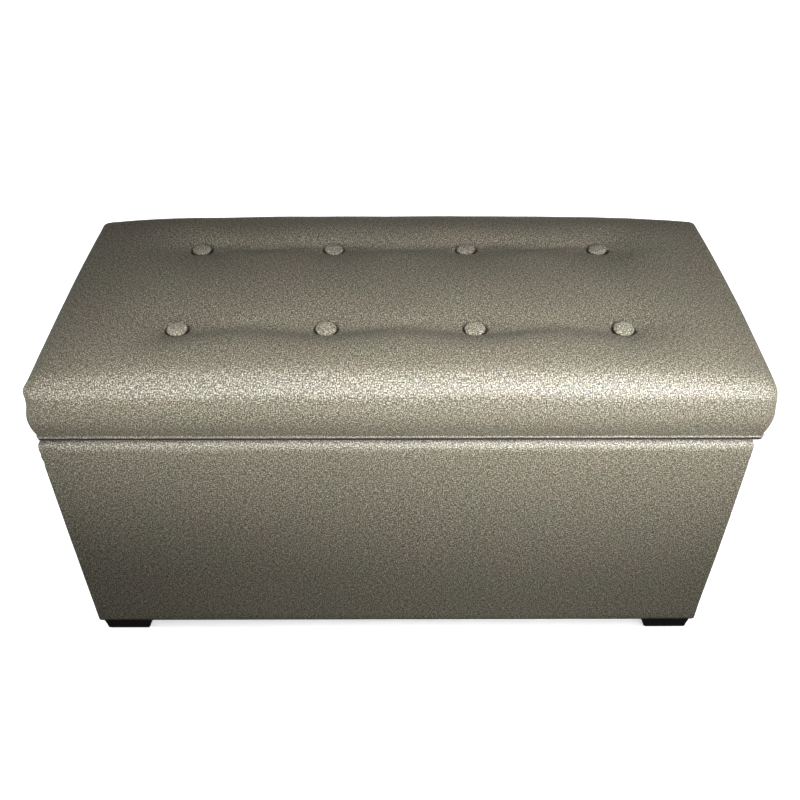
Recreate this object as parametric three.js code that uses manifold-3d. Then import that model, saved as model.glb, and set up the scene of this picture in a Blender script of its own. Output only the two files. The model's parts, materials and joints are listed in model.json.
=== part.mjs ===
// Storage bench: an upholstered box on four block feet with a button-tufted, padded lid that
// hinges up at the rear and is steadied by a folding stay at each end.
//
// Frame: millimetres, +Z up, +X to the right, the front faces -Y. The origin is on the floor
// under the centre of the bench.
import * as THREE from 'three';
import { mergeVertices } from 'three/addons/utils/BufferGeometryUtils.js';
import Module from 'manifold-3d';

const wasm = await Module();
wasm.setup();

// ---------------------------------------------------------------- driving dimensions

const BODY_W = 904; // outside of the upholstered base
const BODY_D = 428;
const BASE_Z = 29; // lower edge of the base upholstery
const RIM_Z = 384; // top of the padded rim
const LID_W = 916;
const LID_FRONT = -222; // the lid overhangs the base in front and at the ends, not at the rear
const LID_REAR = 214;
const LID_Z = 385; // underside of the lid cover
const LID_EDGE_Z = 470; // top of the lid where its rounded edge ends
const LID_EDGE_R = 24;
const LID_CROWN = 16; // how far the middle of the seat stands above its edge

const GAP = 0.3; // between pieces that touch
const BOARD = 15; // plywood of the walls
const FLOOR_BOARD = 9;
const LID_BOARD = 12;
const PAD = 5; // cover and wadding on the outside of the base
const RIM_PAD = 3.5; // the same on the rim and under the lid's edge
const WRAP = 1.8; // cover alone, folded round an edge and stapled
const LINING = 1.5;
const LID_PAD = 4; // cover and wadding on the lid
const LID_EDGE_PAD = 5; // foam folded down over the ends and the front edge of the lid board
const LID_BOARD_CORNER = 14; // chamfer of the lid board's corners

const INSIDE_WRAP = 28; // how far the cover reaches down inside the rim
const UNDER_WRAP = 32; // and in under the base
const LID_WRAP = 45; // and in under the lid
const LINING_DROP = 12; // the lining's hem below the top of the boards
const UNDERFLOOR = 36; // height of the corner blocks and cleats that carry the floor

const FOOT_H = 28;
const FOOT_TOP = 81;
const FOOT_BOTTOM = 62;
const FOOT_INSET = 5.3; // from the outside of the base to the foot's upper edge
const BOLT_R = 4;
const BOLT_LENGTH = 46;
const BOLT_HOLE_R = 4.4;
const DUST_COVER = 0.6;
const DUST_COVER_INSET = 12;

const BUTTON_R = 13.5;
const BUTTON_H = 8.5;
const BUTTON_PITCH = 189;
const BUTTON_ROWS = [-107.5, 99.5]; // Y of the front and the rear row
const BUTTONS_PER_ROW = 4;
const TUFT_Z = 471.5; // bottom of the tufts, under the buttons
const TUFT_BOTTOM_R = 15;
const TUFT_TOP_R = 52;
const SHANK_R = 3;
const SHANK_L = 5;
const TWINE_R = 1.5;
const WASHER_R = 11;
const WASHER_T = 1.5;

const HINGE_X = 285;
const HINGE_L = 76;
const KNUCKLES = 5;
const KNUCKLE_R = 4;
const LEAF = 1.5;
const LEAF_REACH = 23; // from the pin's axis to the leaf's edge
const PIN_R = 2;
const PIN_CLEARANCE = 0.08;

const STAY_T = 2; // thickness of the arms and brackets
const STAY_W = 16;
const STAY_GAP = 0.4; // between arms side by side
const RIVET_R = 3;
const RIVET_CLEARANCE = 0.2;
const RIVET_HEAD_R = 5.5;
const RIVET_HEAD = 1.4;

// ---------------------------------------------------------------- derived places

const HALF_W = BODY_W / 2;
const HALF_D = BODY_D / 2;
const AXIS_Y = LID_REAR + KNUCKLE_R;
const AXIS_Z = (RIM_Z + LID_Z) / 2;
const BOARD_TOP = AXIS_Z - KNUCKLE_R - GAP; // the base leaf lies on the rear board
const LID_BOARD_Z = AXIS_Z + KNUCKLE_R + GAP; // the lid leaf lies under the lid board
const BOARD_Z = BASE_Z + WRAP + GAP;
const BOARD_OUT = PAD + GAP; // distances in from the outside of the base
const BOARD_IN = BOARD_OUT + BOARD;
const WRAP_IN = BOARD_IN + GAP + WRAP;
const LINING_OUT = WRAP_IN + GAP;
const LINING_IN = LINING_OUT + LINING;
const FLOOR_Z = BOARD_Z + UNDERFLOOR + GAP;
const LINING_Z = FLOOR_Z + FLOOR_BOARD + GAP;
const LID_Y = (LID_FRONT + LID_REAR) / 2;
const LID_D = LID_REAR - LID_FRONT;
const FOOT_X = HALF_W - FOOT_INSET - FOOT_TOP / 2;
const FOOT_Y = HALF_D - FOOT_INSET - FOOT_TOP / 2;
const WASHER_Z = LID_BOARD_Z + GAP;

// Pivots of a stay, in Y and Z from the lid's hinge axis with the lid shut. The arms and the
// two lines from the hinge to the fixed pivots make a parallelogram, so the lower arm turns
// with the lid and the upper arm keeps its slope.
const LID_PIVOT = new THREE.Vector2(-150, -17);
const BASE_PIVOT = new THREE.Vector2(-50, -140);
const ELBOW = LID_PIVOT.clone().add(BASE_PIVOT);

// Faces of the stay's layers, in X from the centre of the bench, from the wall inwards.
const BASE_BRACKET_X = HALF_W - LINING_IN - GAP;
const LOWER_ARM_X = BASE_BRACKET_X - STAY_T - STAY_GAP;
const UPPER_ARM_X = LOWER_ARM_X - STAY_T - STAY_GAP;
const LID_BRACKET_X = UPPER_ARM_X - STAY_T - STAY_GAP;

// ---------------------------------------------------------------- materials

const finish = (color, roughness, metalness = 0) =>
  new THREE.MeshStandardMaterial({ color, roughness, metalness });

const FABRIC = finish(0x8d877c, 0.75);
const FOAM = finish(0xe8dfb8, 0.95);
const PLYWOOD = finish(0xc8a878, 0.7);
const PINE = finish(0xd9bf8f, 0.7);
const LINING_CLOTH = finish(0x1d1c1b, 0.9);
const DARK_WOOD = finish(0x191310, 0.45);
const STEEL = finish(0xb9bcc0, 0.35, 1);
const BLACK_STEEL = finish(0x202124, 0.45, 1);
const TWINE = finish(0xcfc6b0, 0.9);

// ---------------------------------------------------------------- geometry helpers

function solid(geometry) {
  const bare = new THREE.BufferGeometry();
  const source = geometry.index ? geometry.toNonIndexed() : geometry;
  bare.setAttribute('position', source.getAttribute('position'));
  const merged = mergeVertices(bare, 1e-4);
  return new wasm.Manifold(
    new wasm.Mesh({
      numProp: 3,
      vertProperties: merged.getAttribute('position').array,
      triVerts: new Uint32Array(merged.index.array),
    }),
  );
}

function geometryOf(manifold) {
  const mesh = manifold.getMesh();
  const geometry = new THREE.BufferGeometry();
  geometry.setAttribute('position', new THREE.BufferAttribute(mesh.vertProperties, 3));
  geometry.setIndex(new THREE.BufferAttribute(mesh.triVerts, 1));
  geometry.computeVertexNormals();
  return geometry;
}

const cut = (from, ...tools) =>
  geometryOf(tools.reduce((left, tool) => left.subtract(solid(tool)), solid(from)));

const join = (...parts) => geometryOf(parts.map(solid).reduce((whole, part) => whole.add(part)));

function box([x0, x1], [y0, y1], [z0, z1]) {
  const geometry = new THREE.BoxGeometry(x1 - x0, y1 - y0, z1 - z0);
  return geometry.translate((x0 + x1) / 2, (y0 + y1) / 2, (z0 + z1) / 2);
}

// A solid of revolution about Z: its profile is [radius, z] points from the bottom up.
function turned(profile, segments = 12) {
  const points = profile.map(([radius, z]) => new THREE.Vector2(radius, z));
  return new THREE.LatheGeometry(points, segments).rotateX(Math.PI / 2);
}

const rod = (radius, z0, z1, segments = 12) =>
  turned([[0, z0], [radius, z0], [radius, z1], [0, z1]], segments);

// The same rod lying along X, centred on a point of the YZ plane.
const rodX = (radius, [x0, x1], { x: y, y: z }, segments = 12) =>
  rod(radius, x0, x1, segments).rotateY(Math.PI / 2).translate(0, y, z);

// Shape space (x, y) becomes world (Y, Z), and the extrusion runs along X.
const YZ_PLANE = new THREE.Matrix4().makeBasis(
  new THREE.Vector3(0, 1, 0),
  new THREE.Vector3(0, 0, 1),
  new THREE.Vector3(1, 0, 0),
);

function extrudeX(shape, [x0, x1], curveSegments = 6) {
  const options = { depth: x1 - x0, bevelEnabled: false, curveSegments };
  return new THREE.ExtrudeGeometry(shape, options).translate(0, 0, x0).applyMatrix4(YZ_PLANE);
}

function mesh(name, geometry, material, x = 0, y = 0, z = 0) {
  const made = new THREE.Mesh(geometry, material);
  made.name = name;
  made.position.set(x, y, z);
  return made;
}

// ---------------------------------------------------------------- base: boards and floor

const wallZ = [BOARD_Z, BOARD_TOP];
const betweenWalls = HALF_D - BOARD_IN - GAP;
const acrossFloor = HALF_W - BOARD_IN - GAP;

function longBoard(name, side) {
  const y = [HALF_D - BOARD_IN, HALF_D - BOARD_OUT].map((v) => side * v).sort((a, b) => a - b);
  return mesh(name, box([BOARD_OUT - HALF_W, HALF_W - BOARD_OUT], y, wallZ), PLYWOOD);
}

function endBoard(name, side) {
  const x = [HALF_W - BOARD_IN, HALF_W - BOARD_OUT].map((v) => side * v).sort((a, b) => a - b);
  return mesh(name, box(x, [-betweenWalls, betweenWalls], wallZ), PLYWOOD);
}

const CORNER_BLOCK = 70;
const CLEAT = 18;

function cornerBlock(name, sx, sy) {
  const half = CORNER_BLOCK / 2;
  const x = sx * (acrossFloor - half);
  const y = sy * (betweenWalls - half);
  const block = box([-half, half], [-half, half], [0, UNDERFLOOR]);
  const hole = rod(BOLT_HOLE_R, -1, UNDERFLOOR + 1).translate(sx * FOOT_X - x, sy * FOOT_Y - y, 0);
  return mesh(name, cut(block, hole), PINE, x, y, BOARD_Z);
}

function cleat(name, side) {
  const reach = acrossFloor - CORNER_BLOCK - GAP;
  const bar = box([-reach, reach], [-CLEAT / 2, CLEAT / 2], [0, UNDERFLOOR]);
  return mesh(name, bar, PINE, 0, side * (betweenWalls - CLEAT / 2), BOARD_Z);
}

function floorBoard() {
  const board = box([-acrossFloor, acrossFloor], [-betweenWalls, betweenWalls], [0, FLOOR_BOARD]);
  return mesh('floor_board', board, PLYWOOD, 0, 0, FLOOR_Z);
}

// ---------------------------------------------------------------- base: cloth

const RIM_ROUND = 6;
const MITRE_GAP = 0.2;

// Section of the cover on one wall, as x = distance in from its outside and y = height: up the
// outside, over the rim and down the inside of the board, and in under its lower edge.
function coverSection() {
  const section = new THREE.Shape();
  section.moveTo(0, BASE_Z);
  section.lineTo(UNDER_WRAP, BASE_Z);
  section.lineTo(UNDER_WRAP, BASE_Z + WRAP);
  section.lineTo(PAD, BASE_Z + WRAP);
  section.lineTo(PAD, BOARD_TOP + GAP);
  section.lineTo(WRAP_IN - WRAP, BOARD_TOP + GAP);
  section.lineTo(WRAP_IN - WRAP, BOARD_TOP - INSIDE_WRAP);
  section.lineTo(WRAP_IN, BOARD_TOP - INSIDE_WRAP);
  section.lineTo(WRAP_IN, RIM_Z);
  section.absarc(RIM_ROUND, RIM_Z - RIM_ROUND, RIM_ROUND, Math.PI / 2, Math.PI, false);
  return section;
}

// One wall's cover, facing -Y with its outside `distance` from the centre. Its ends are mitred.
function coverPanel(distance, halfLength) {
  const options = { depth: 2, bevelEnabled: false, curveSegments: 4 };
  const panel = new THREE.ExtrudeGeometry(coverSection(), options).translate(0, 0, -1);
  const at = panel.getAttribute('position');
  for (let i = 0; i < at.count; i++) {
    at.setZ(i, at.getZ(i) * (halfLength - at.getX(i) - MITRE_GAP));
  }
  return panel.applyMatrix4(YZ_PLANE).translate(0, -distance, 0);
}

// Room for a hinge leaf in cloth that faces -Y, from the outside of the base inwards.
const leafPocket = (x, z) => {
  const half = HINGE_L / 2 + 1;
  return box([x - half, x + half], [-LID_REAR - 2, LEAF_REACH + 1 - AXIS_Y], z);
};

function baseCovers() {
  const pockets = [-HINGE_X, HINGE_X].map((x) => leafPocket(x, [BOARD_TOP + GAP / 2, LID_Z]));
  const long = coverPanel(HALF_D, HALF_W);
  const end = coverPanel(HALF_W, HALF_D);
  const covers = [
    mesh('base_cover_front', long, FABRIC),
    mesh('base_cover_right', end, FABRIC),
    mesh('base_cover_rear', cut(long, ...pockets), FABRIC),
    mesh('base_cover_left', end, FABRIC),
  ];
  covers.forEach((cover, quarter) => {
    cover.rotation.z = (quarter * Math.PI) / 2;
  });
  return covers;
}

function storageLining() {
  const x = HALF_W - LINING_OUT;
  const y = HALF_D - LINING_OUT;
  const height = BOARD_TOP - LINING_DROP - LINING_Z;
  const outside = box([-x, x], [-y, y], [0, height]);
  const inside = box([LINING - x, x - LINING], [LINING - y, y - LINING], [LINING, height + 1]);
  return mesh('storage_lining', cut(outside, inside), LINING_CLOTH, 0, 0, LINING_Z);
}

const CORNERS = [
  ['front_left', -1, -1],
  ['front_right', 1, -1],
  ['rear_left', -1, 1],
  ['rear_right', 1, 1],
];

function dustCover() {
  const x = HALF_W - DUST_COVER_INSET;
  const y = HALF_D - DUST_COVER_INSET;
  const sheet = box([-x, x], [-y, y], [0, DUST_COVER]);
  const holes = CORNERS.map(([, sx, sy]) =>
    rod(BOLT_HOLE_R, -1, 2).translate(sx * FOOT_X, sy * FOOT_Y, 0),
  );
  return mesh('dust_cover', cut(sheet, ...holes), LINING_CLOTH, 0, 0, BASE_Z - GAP / 2 - DUST_COVER);
}

// ---------------------------------------------------------------- feet

const FOOT_BOLT_Z = 8; // the bolt starts this far above the floor, inside the foot

function foot(name, sx, sy) {
  const block = new THREE.BoxGeometry(1, 1, FOOT_H).translate(0, 0, FOOT_H / 2);
  const at = block.getAttribute('position');
  for (let i = 0; i < at.count; i++) {
    const width = at.getZ(i) > 0 ? FOOT_TOP : FOOT_BOTTOM;
    at.setX(i, at.getX(i) * width);
    at.setY(i, at.getY(i) * width);
  }
  const hole = rod(BOLT_HOLE_R, FOOT_BOLT_Z - GAP, FOOT_H + 1);
  return mesh(name, cut(block, hole), DARK_WOOD, sx * FOOT_X, sy * FOOT_Y, 0);
}

function footBolt(name, sx, sy) {
  const stud = rod(BOLT_R, 0, BOLT_LENGTH);
  return mesh(name, stud, STEEL, sx * FOOT_X, sy * FOOT_Y, FOOT_BOLT_Z);
}

// ---------------------------------------------------------------- lid: board, foam and cloth

const EDGE_STEPS = 2; // facets of the rounded edge
const SIDE_CROWN = 0.65; // share of the crown that is lost between the middle and the long edges

// Where the cushion's grid lines run, from edge to edge: close together round the edge.
function stations(half, radius, middle) {
  const edge = [];
  for (let k = 0; k <= EDGE_STEPS; k++) {
    edge.push(radius * (1 - Math.cos((k / EDGE_STEPS) * (Math.PI / 2))));
  }
  const flat = half - radius;
  const inner = [];
  for (let k = 1; k < middle; k++) inner.push(-flat + (2 * flat * k) / middle);
  return [...edge.map((d) => d - half), ...inner, ...edge.reverse().map((d) => half - d)];
}

// Height of the cushion's top, for a shape set in from the lid's outside by `inset`.
function seatZ(x, y, halfX, halfY, inset) {
  const radius = LID_EDGE_R - inset;
  const roundX = Math.max(0, Math.abs(x) - (halfX - radius)) / radius;
  const roundY = Math.max(0, Math.abs(y) - (halfY - radius)) / radius;
  const rise = Math.sqrt(Math.max(0, (1 - roundX ** 2) * (1 - roundY ** 2)));
  const across = 1 - Math.abs(x / halfX) ** 4;
  const along = 1 - SIDE_CROWN * Math.abs(y / halfY) ** 2.5;
  return LID_EDGE_Z - LID_EDGE_R + (radius + LID_CROWN * across * along) * rise;
}

// A block with a crowned top and rounded upper edges, flat below.
function cushion(inset, zBottom) {
  const halfX = LID_W / 2 - inset;
  const halfY = LID_D / 2 - inset;
  const xs = stations(halfX, LID_EDGE_R - inset, 6);
  const ys = stations(halfY, LID_EDGE_R - inset, 4);
  const block = new THREE.BoxGeometry(2, 2, 2, xs.length - 1, ys.length - 1, 1);
  const at = block.getAttribute('position');
  for (let i = 0; i < at.count; i++) {
    const x = xs[Math.round(((at.getX(i) + 1) / 2) * (xs.length - 1))];
    const y = ys[Math.round(((at.getY(i) + 1) / 2) * (ys.length - 1))];
    const z = at.getZ(i) > 0 ? seatZ(x, y, halfX, halfY, inset) : zBottom;
    at.setXYZ(i, x, y + LID_Y, z);
  }
  return block;
}

const TUFTS = BUTTON_ROWS.flatMap((y) =>
  Array.from({ length: BUTTONS_PER_ROW }, (_, i) => ({
    x: (i - (BUTTONS_PER_ROW - 1) / 2) * BUTTON_PITCH,
    y,
  })),
);

const onTufts = (make) => TUFTS.map(({ x, y }) => make().translate(x, y, 0));

// The hollow that a button pulls into the cushion, `deeper` below the outside of the cover.
const tuftHollow = (deeper) => () =>
  turned([[0, TUFT_Z - deeper], [TUFT_BOTTOM_R + deeper, TUFT_Z - deeper],
    [TUFT_TOP_R + deeper, LID_EDGE_Z + 2 * LID_CROWN], [0, LID_EDGE_Z + 2 * LID_CROWN]], 8);

function lidCover() {
  const hollow = cut(cushion(LID_PAD, LID_Z + RIM_PAD), ...onTufts(tuftHollow(LID_PAD)));
  const openX = LID_W / 2 - LID_WRAP;
  const openY = LID_D / 2 - LID_WRAP;
  const opening = box(
    [-openX, openX],
    [LID_Y - openY, LID_Y + openY],
    [LID_Z - 1, LID_BOARD_Z + 1],
  );
  const pockets = [-HINGE_X, HINGE_X].map((x) =>
    leafPocket(x, [RIM_Z, LID_BOARD_Z - GAP / 2]).rotateZ(Math.PI),
  );
  const shanks = onTufts(() =>
    rod(SHANK_R + GAP, LID_EDGE_Z - LID_EDGE_R, LID_EDGE_Z + 2 * LID_CROWN, 8),
  );
  const outside = cushion(0, LID_Z);
  return mesh(
    'lid_cover',
    cut(outside, ...onTufts(tuftHollow(0)), hollow, opening, ...pockets, ...shanks),
    FABRIC,
  );
}

const LID_BOARD_X = LID_W / 2 - LID_PAD - 2 * GAP - LID_EDGE_PAD;
const LID_BOARD_FRONT = LID_FRONT + LID_PAD + 2 * GAP + LID_EDGE_PAD;
const LID_BOARD_REAR = LID_REAR - LID_PAD - GAP;

function lidFoam() {
  const inset = LID_PAD + GAP;
  const space = box(
    [-LID_BOARD_X - GAP, LID_BOARD_X + GAP],
    [LID_BOARD_FRONT - GAP, LID_REAR],
    [LID_BOARD_Z - 1, LID_BOARD_Z + LID_BOARD + GAP],
  );
  const block = cut(cushion(inset, LID_BOARD_Z), space);
  const holes = onTufts(() => rod(SHANK_R + GAP, LID_BOARD_Z, LID_EDGE_Z + LID_CROWN, 8));
  return mesh('lid_foam', cut(block, ...onTufts(tuftHollow(inset)), ...holes), FOAM);
}

function lidBoard() {
  const x = LID_BOARD_X;
  const [front, rear, corner] = [LID_BOARD_FRONT, LID_BOARD_REAR, LID_BOARD_CORNER];
  const outline = new THREE.Shape(
    [
      [corner - x, front],
      [x - corner, front],
      [x, front + corner],
      [x, rear - corner],
      [x - corner, rear],
      [corner - x, rear],
      [-x, rear - corner],
      [-x, front + corner],
    ].map((point) => new THREE.Vector2(...point)),
  );
  const options = { depth: LID_BOARD, bevelEnabled: false };
  const board = new THREE.ExtrudeGeometry(outline, options).translate(0, 0, LID_BOARD_Z);
  const counterbores = onTufts(() =>
    rod(WASHER_R + 1, LID_BOARD_Z - 1, WASHER_Z + WASHER_T + GAP),
  );
  const holes = onTufts(() =>
    rod(TWINE_R + 1, LID_BOARD_Z - 1, LID_BOARD_Z + LID_BOARD + 1, 8),
  );
  return mesh('lid_board', cut(board, ...counterbores, ...holes), PLYWOOD);
}

function lidLining() {
  const x = LID_W / 2 - LID_WRAP - GAP;
  const y = LID_D / 2 - LID_WRAP - GAP;
  const panel = box([-x, x], [-y, y], [0, RIM_PAD - 2 * GAP]);
  return mesh('lid_lining', panel, LINING_CLOTH, 0, LID_Y, LID_Z + 2 * GAP);
}

// ---------------------------------------------------------------- buttons and their ties

function button() {
  const dome = [[0, -SHANK_L], [SHANK_R, -SHANK_L], [SHANK_R, 0], [BUTTON_R - 1, 0]];
  const steps = 3;
  for (let k = 0; k <= steps; k++) {
    const angle = ((k / steps) * Math.PI) / 2;
    dome.push([BUTTON_R * Math.cos(angle), 2 + (BUTTON_H - 2) * Math.sin(angle)]);
  }
  dome[dome.length - 1][0] = 0;
  return turned(dome);
}

function tie() {
  const top = TUFT_Z + GAP - SHANK_L - GAP - WASHER_Z;
  return turned(
    [[0, 0], [WASHER_R, 0], [WASHER_R, WASHER_T], [TWINE_R, WASHER_T], [TWINE_R, top], [0, top]],
    12,
  );
}

function tufting() {
  return TUFTS.flatMap(({ x, y }, i) => [
    mesh(`button_${i + 1}`, button(), FABRIC, x, y, TUFT_Z + GAP),
    mesh(`button_tie_${i + 1}`, tie(), TWINE, x, y, WASHER_Z),
  ]);
}

// ---------------------------------------------------------------- hinges

// Knuckles of one leaf along X, from 0: every other one, starting with `first`.
function knuckles(first) {
  const length = HINGE_L / KNUCKLES;
  const made = [];
  for (let k = first; k < KNUCKLES; k += 2) {
    made.push([k * length + GAP / 2, (k + 1) * length - GAP / 2]);
  }
  return made;
}

// A leaf lies in the plane `z` from its axis, against the top or the bottom of its knuckles.
function hingeLeaf(first, z) {
  const own = knuckles(first);
  const others = knuckles(1 - first);
  const plate = box([GAP / 2, HINGE_L - GAP / 2], [-LEAF_REACH, 0], [z, z + LEAF]);
  const barrel = own.map((x) => rodX(KNUCKLE_R, x, new THREE.Vector2()));
  const notches = others.map(([x0, x1]) =>
    rodX(KNUCKLE_R + GAP, [x0 - GAP, x1 + GAP], new THREE.Vector2()),
  );
  const bore = rodX(PIN_R + PIN_CLEARANCE, [-1, HINGE_L + 1], new THREE.Vector2());
  return cut(join(cut(plate, ...notches), ...barrel), bore);
}

function hinge(side) {
  const word = side < 0 ? 'left' : 'right';
  const group = new THREE.Group();
  group.position.set(side * HINGE_X - HINGE_L / 2, AXIS_Y, AXIS_Z);
  group.add(
    mesh(`hinge_${word}_base_leaf`, hingeLeaf(0, -KNUCKLE_R), STEEL),
    mesh(`hinge_${word}_lid_leaf`, hingeLeaf(1, KNUCKLE_R - LEAF), STEEL),
    mesh(`hinge_${word}_pin`, rodX(PIN_R, [0.5, HINGE_L - 0.5], new THREE.Vector2()), STEEL),
  );
  return group;
}

// ---------------------------------------------------------------- folding stays

// A flat bar with round ends between two pivots, in the YZ plane.
function armShape(from, to) {
  const along = to.clone().sub(from);
  const angle = along.angle();
  const shape = new THREE.Shape();
  shape.absarc(from.x, from.y, STAY_W / 2, angle + Math.PI / 2, angle + (3 * Math.PI) / 2, false);
  shape.absarc(to.x, to.y, STAY_W / 2, angle - Math.PI / 2, angle + Math.PI / 2, false);
  return shape;
}

// A rivet whose shank runs from `root` through a neighbour to its head; x values fall inwards.
const rivet = (pivot, root, headFace, outward) => {
  const head = [headFace, headFace + outward * RIVET_HEAD].sort((a, b) => a - b);
  const shank = [root, headFace + (outward * RIVET_HEAD) / 2].sort((a, b) => a - b);
  return [rodX(RIVET_R, shank, pivot), rodX(RIVET_HEAD_R, head, pivot)];
};

const rivetHole = (pivot, x) => rodX(RIVET_R + RIVET_CLEARANCE, [x - STAY_T - 1, x + 1], pivot);

function baseBracket() {
  const reach = 15;
  const drop = 34;
  const x = [BASE_BRACKET_X - STAY_T, BASE_BRACKET_X];
  const shape = new THREE.Shape();
  shape.moveTo(BASE_PIVOT.x - reach, BASE_PIVOT.y - drop);
  shape.lineTo(BASE_PIVOT.x + reach, BASE_PIVOT.y - drop);
  shape.absarc(BASE_PIVOT.x, BASE_PIVOT.y, reach, 0, Math.PI, false);
  const headFace = LOWER_ARM_X - STAY_T - GAP / 2;
  return join(extrudeX(shape, x), ...rivet(BASE_PIVOT, x[0] + 1, headFace, -1));
}

function lowerArm() {
  const bar = extrudeX(armShape(BASE_PIVOT, ELBOW), [LOWER_ARM_X - STAY_T, LOWER_ARM_X]);
  const headFace = UPPER_ARM_X - STAY_T - GAP / 2;
  const rivetParts = rivet(ELBOW, LOWER_ARM_X - 1, headFace, -1);
  return join(cut(bar, rivetHole(BASE_PIVOT, LOWER_ARM_X)), ...rivetParts);
}

function upperArm() {
  const bar = extrudeX(armShape(ELBOW, LID_PIVOT), [UPPER_ARM_X - STAY_T, UPPER_ARM_X]);
  return cut(bar, rivetHole(ELBOW, UPPER_ARM_X), rivetHole(LID_PIVOT, UPPER_ARM_X));
}

function lidBracket() {
  const reach = 11;
  const flangeReach = 30;
  const flangeWidth = 20;
  const flangeTop = LID_Z - GAP - AXIS_Z;
  const x = [LID_BRACKET_X - STAY_T, LID_BRACKET_X];
  const tab = new THREE.Shape();
  tab.moveTo(LID_PIVOT.x + reach, flangeTop);
  tab.lineTo(LID_PIVOT.x - reach, flangeTop);
  tab.absarc(LID_PIVOT.x, LID_PIVOT.y, reach, Math.PI, 2 * Math.PI, false);
  const flange = box(
    [LID_BRACKET_X - flangeWidth, LID_BRACKET_X],
    [LID_PIVOT.x - flangeReach, LID_PIVOT.x + flangeReach],
    [flangeTop - LEAF, flangeTop],
  );
  const headFace = UPPER_ARM_X + GAP / 2;
  return join(extrudeX(tab, x), flange, ...rivet(LID_PIVOT, x[1] - 1, headFace, 1));
}

// A stay is drawn for the right-hand end; the left-hand one is its mirror image.
function stay(side) {
  const word = side < 0 ? 'left' : 'right';
  const group = new THREE.Group();
  group.position.set(0, AXIS_Y, AXIS_Z);
  group.scale.x = side;
  group.add(
    mesh(`stay_${word}_base_bracket`, baseBracket(), BLACK_STEEL),
    mesh(`stay_${word}_lower_arm`, lowerArm(), BLACK_STEEL),
    mesh(`stay_${word}_upper_arm`, upperArm(), BLACK_STEEL),
    mesh(`stay_${word}_lid_bracket`, lidBracket(), BLACK_STEEL),
  );
  return group;
}

// ---------------------------------------------------------------- the bench

const bench = new THREE.Group();
bench.add(
  longBoard('front_board', -1),
  longBoard('rear_board', 1),
  endBoard('left_board', -1),
  endBoard('right_board', 1),
  floorBoard(),
  cleat('front_cleat', -1),
  cleat('rear_cleat', 1),
  ...baseCovers(),
  storageLining(),
  dustCover(),
  ...CORNERS.flatMap(([word, sx, sy]) => [
    cornerBlock(`corner_block_${word}`, sx, sy),
    foot(`foot_${word}`, sx, sy),
    footBolt(`foot_bolt_${word}`, sx, sy),
  ]),
  lidBoard(),
  lidFoam(),
  lidCover(),
  lidLining(),
  ...tufting(),
  hinge(-1),
  hinge(1),
  stay(-1),
  stay(1),
);

export default bench;
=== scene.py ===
"""The looks of the storage bench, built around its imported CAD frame. Metres, +Z up, front to -Y."""

import json
import math

import bpy
import numpy as np
from mathutils import Matrix, Vector, noise


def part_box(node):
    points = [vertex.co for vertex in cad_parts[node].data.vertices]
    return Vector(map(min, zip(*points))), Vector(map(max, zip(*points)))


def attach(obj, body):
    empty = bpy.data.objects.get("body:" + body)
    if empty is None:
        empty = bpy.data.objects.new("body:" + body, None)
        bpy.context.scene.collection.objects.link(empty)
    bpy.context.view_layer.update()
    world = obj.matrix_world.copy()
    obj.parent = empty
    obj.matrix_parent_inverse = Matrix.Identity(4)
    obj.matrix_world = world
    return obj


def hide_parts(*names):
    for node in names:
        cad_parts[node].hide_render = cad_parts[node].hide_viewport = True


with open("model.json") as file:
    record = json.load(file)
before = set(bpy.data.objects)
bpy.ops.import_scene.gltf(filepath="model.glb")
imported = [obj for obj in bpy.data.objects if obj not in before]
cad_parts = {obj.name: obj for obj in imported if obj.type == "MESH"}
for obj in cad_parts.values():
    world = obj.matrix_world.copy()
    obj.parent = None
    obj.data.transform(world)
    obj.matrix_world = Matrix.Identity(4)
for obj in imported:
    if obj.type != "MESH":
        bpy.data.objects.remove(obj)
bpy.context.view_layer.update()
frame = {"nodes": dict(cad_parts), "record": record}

MM = 0.001
SIDES = {"left": -1, "right": 1}
CORNERS = {
    "front_left": (-1, -1),
    "front_right": (1, -1),
    "rear_left": (-1, 1),
    "rear_right": (1, 1),
}

# ---- node helpers


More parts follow.
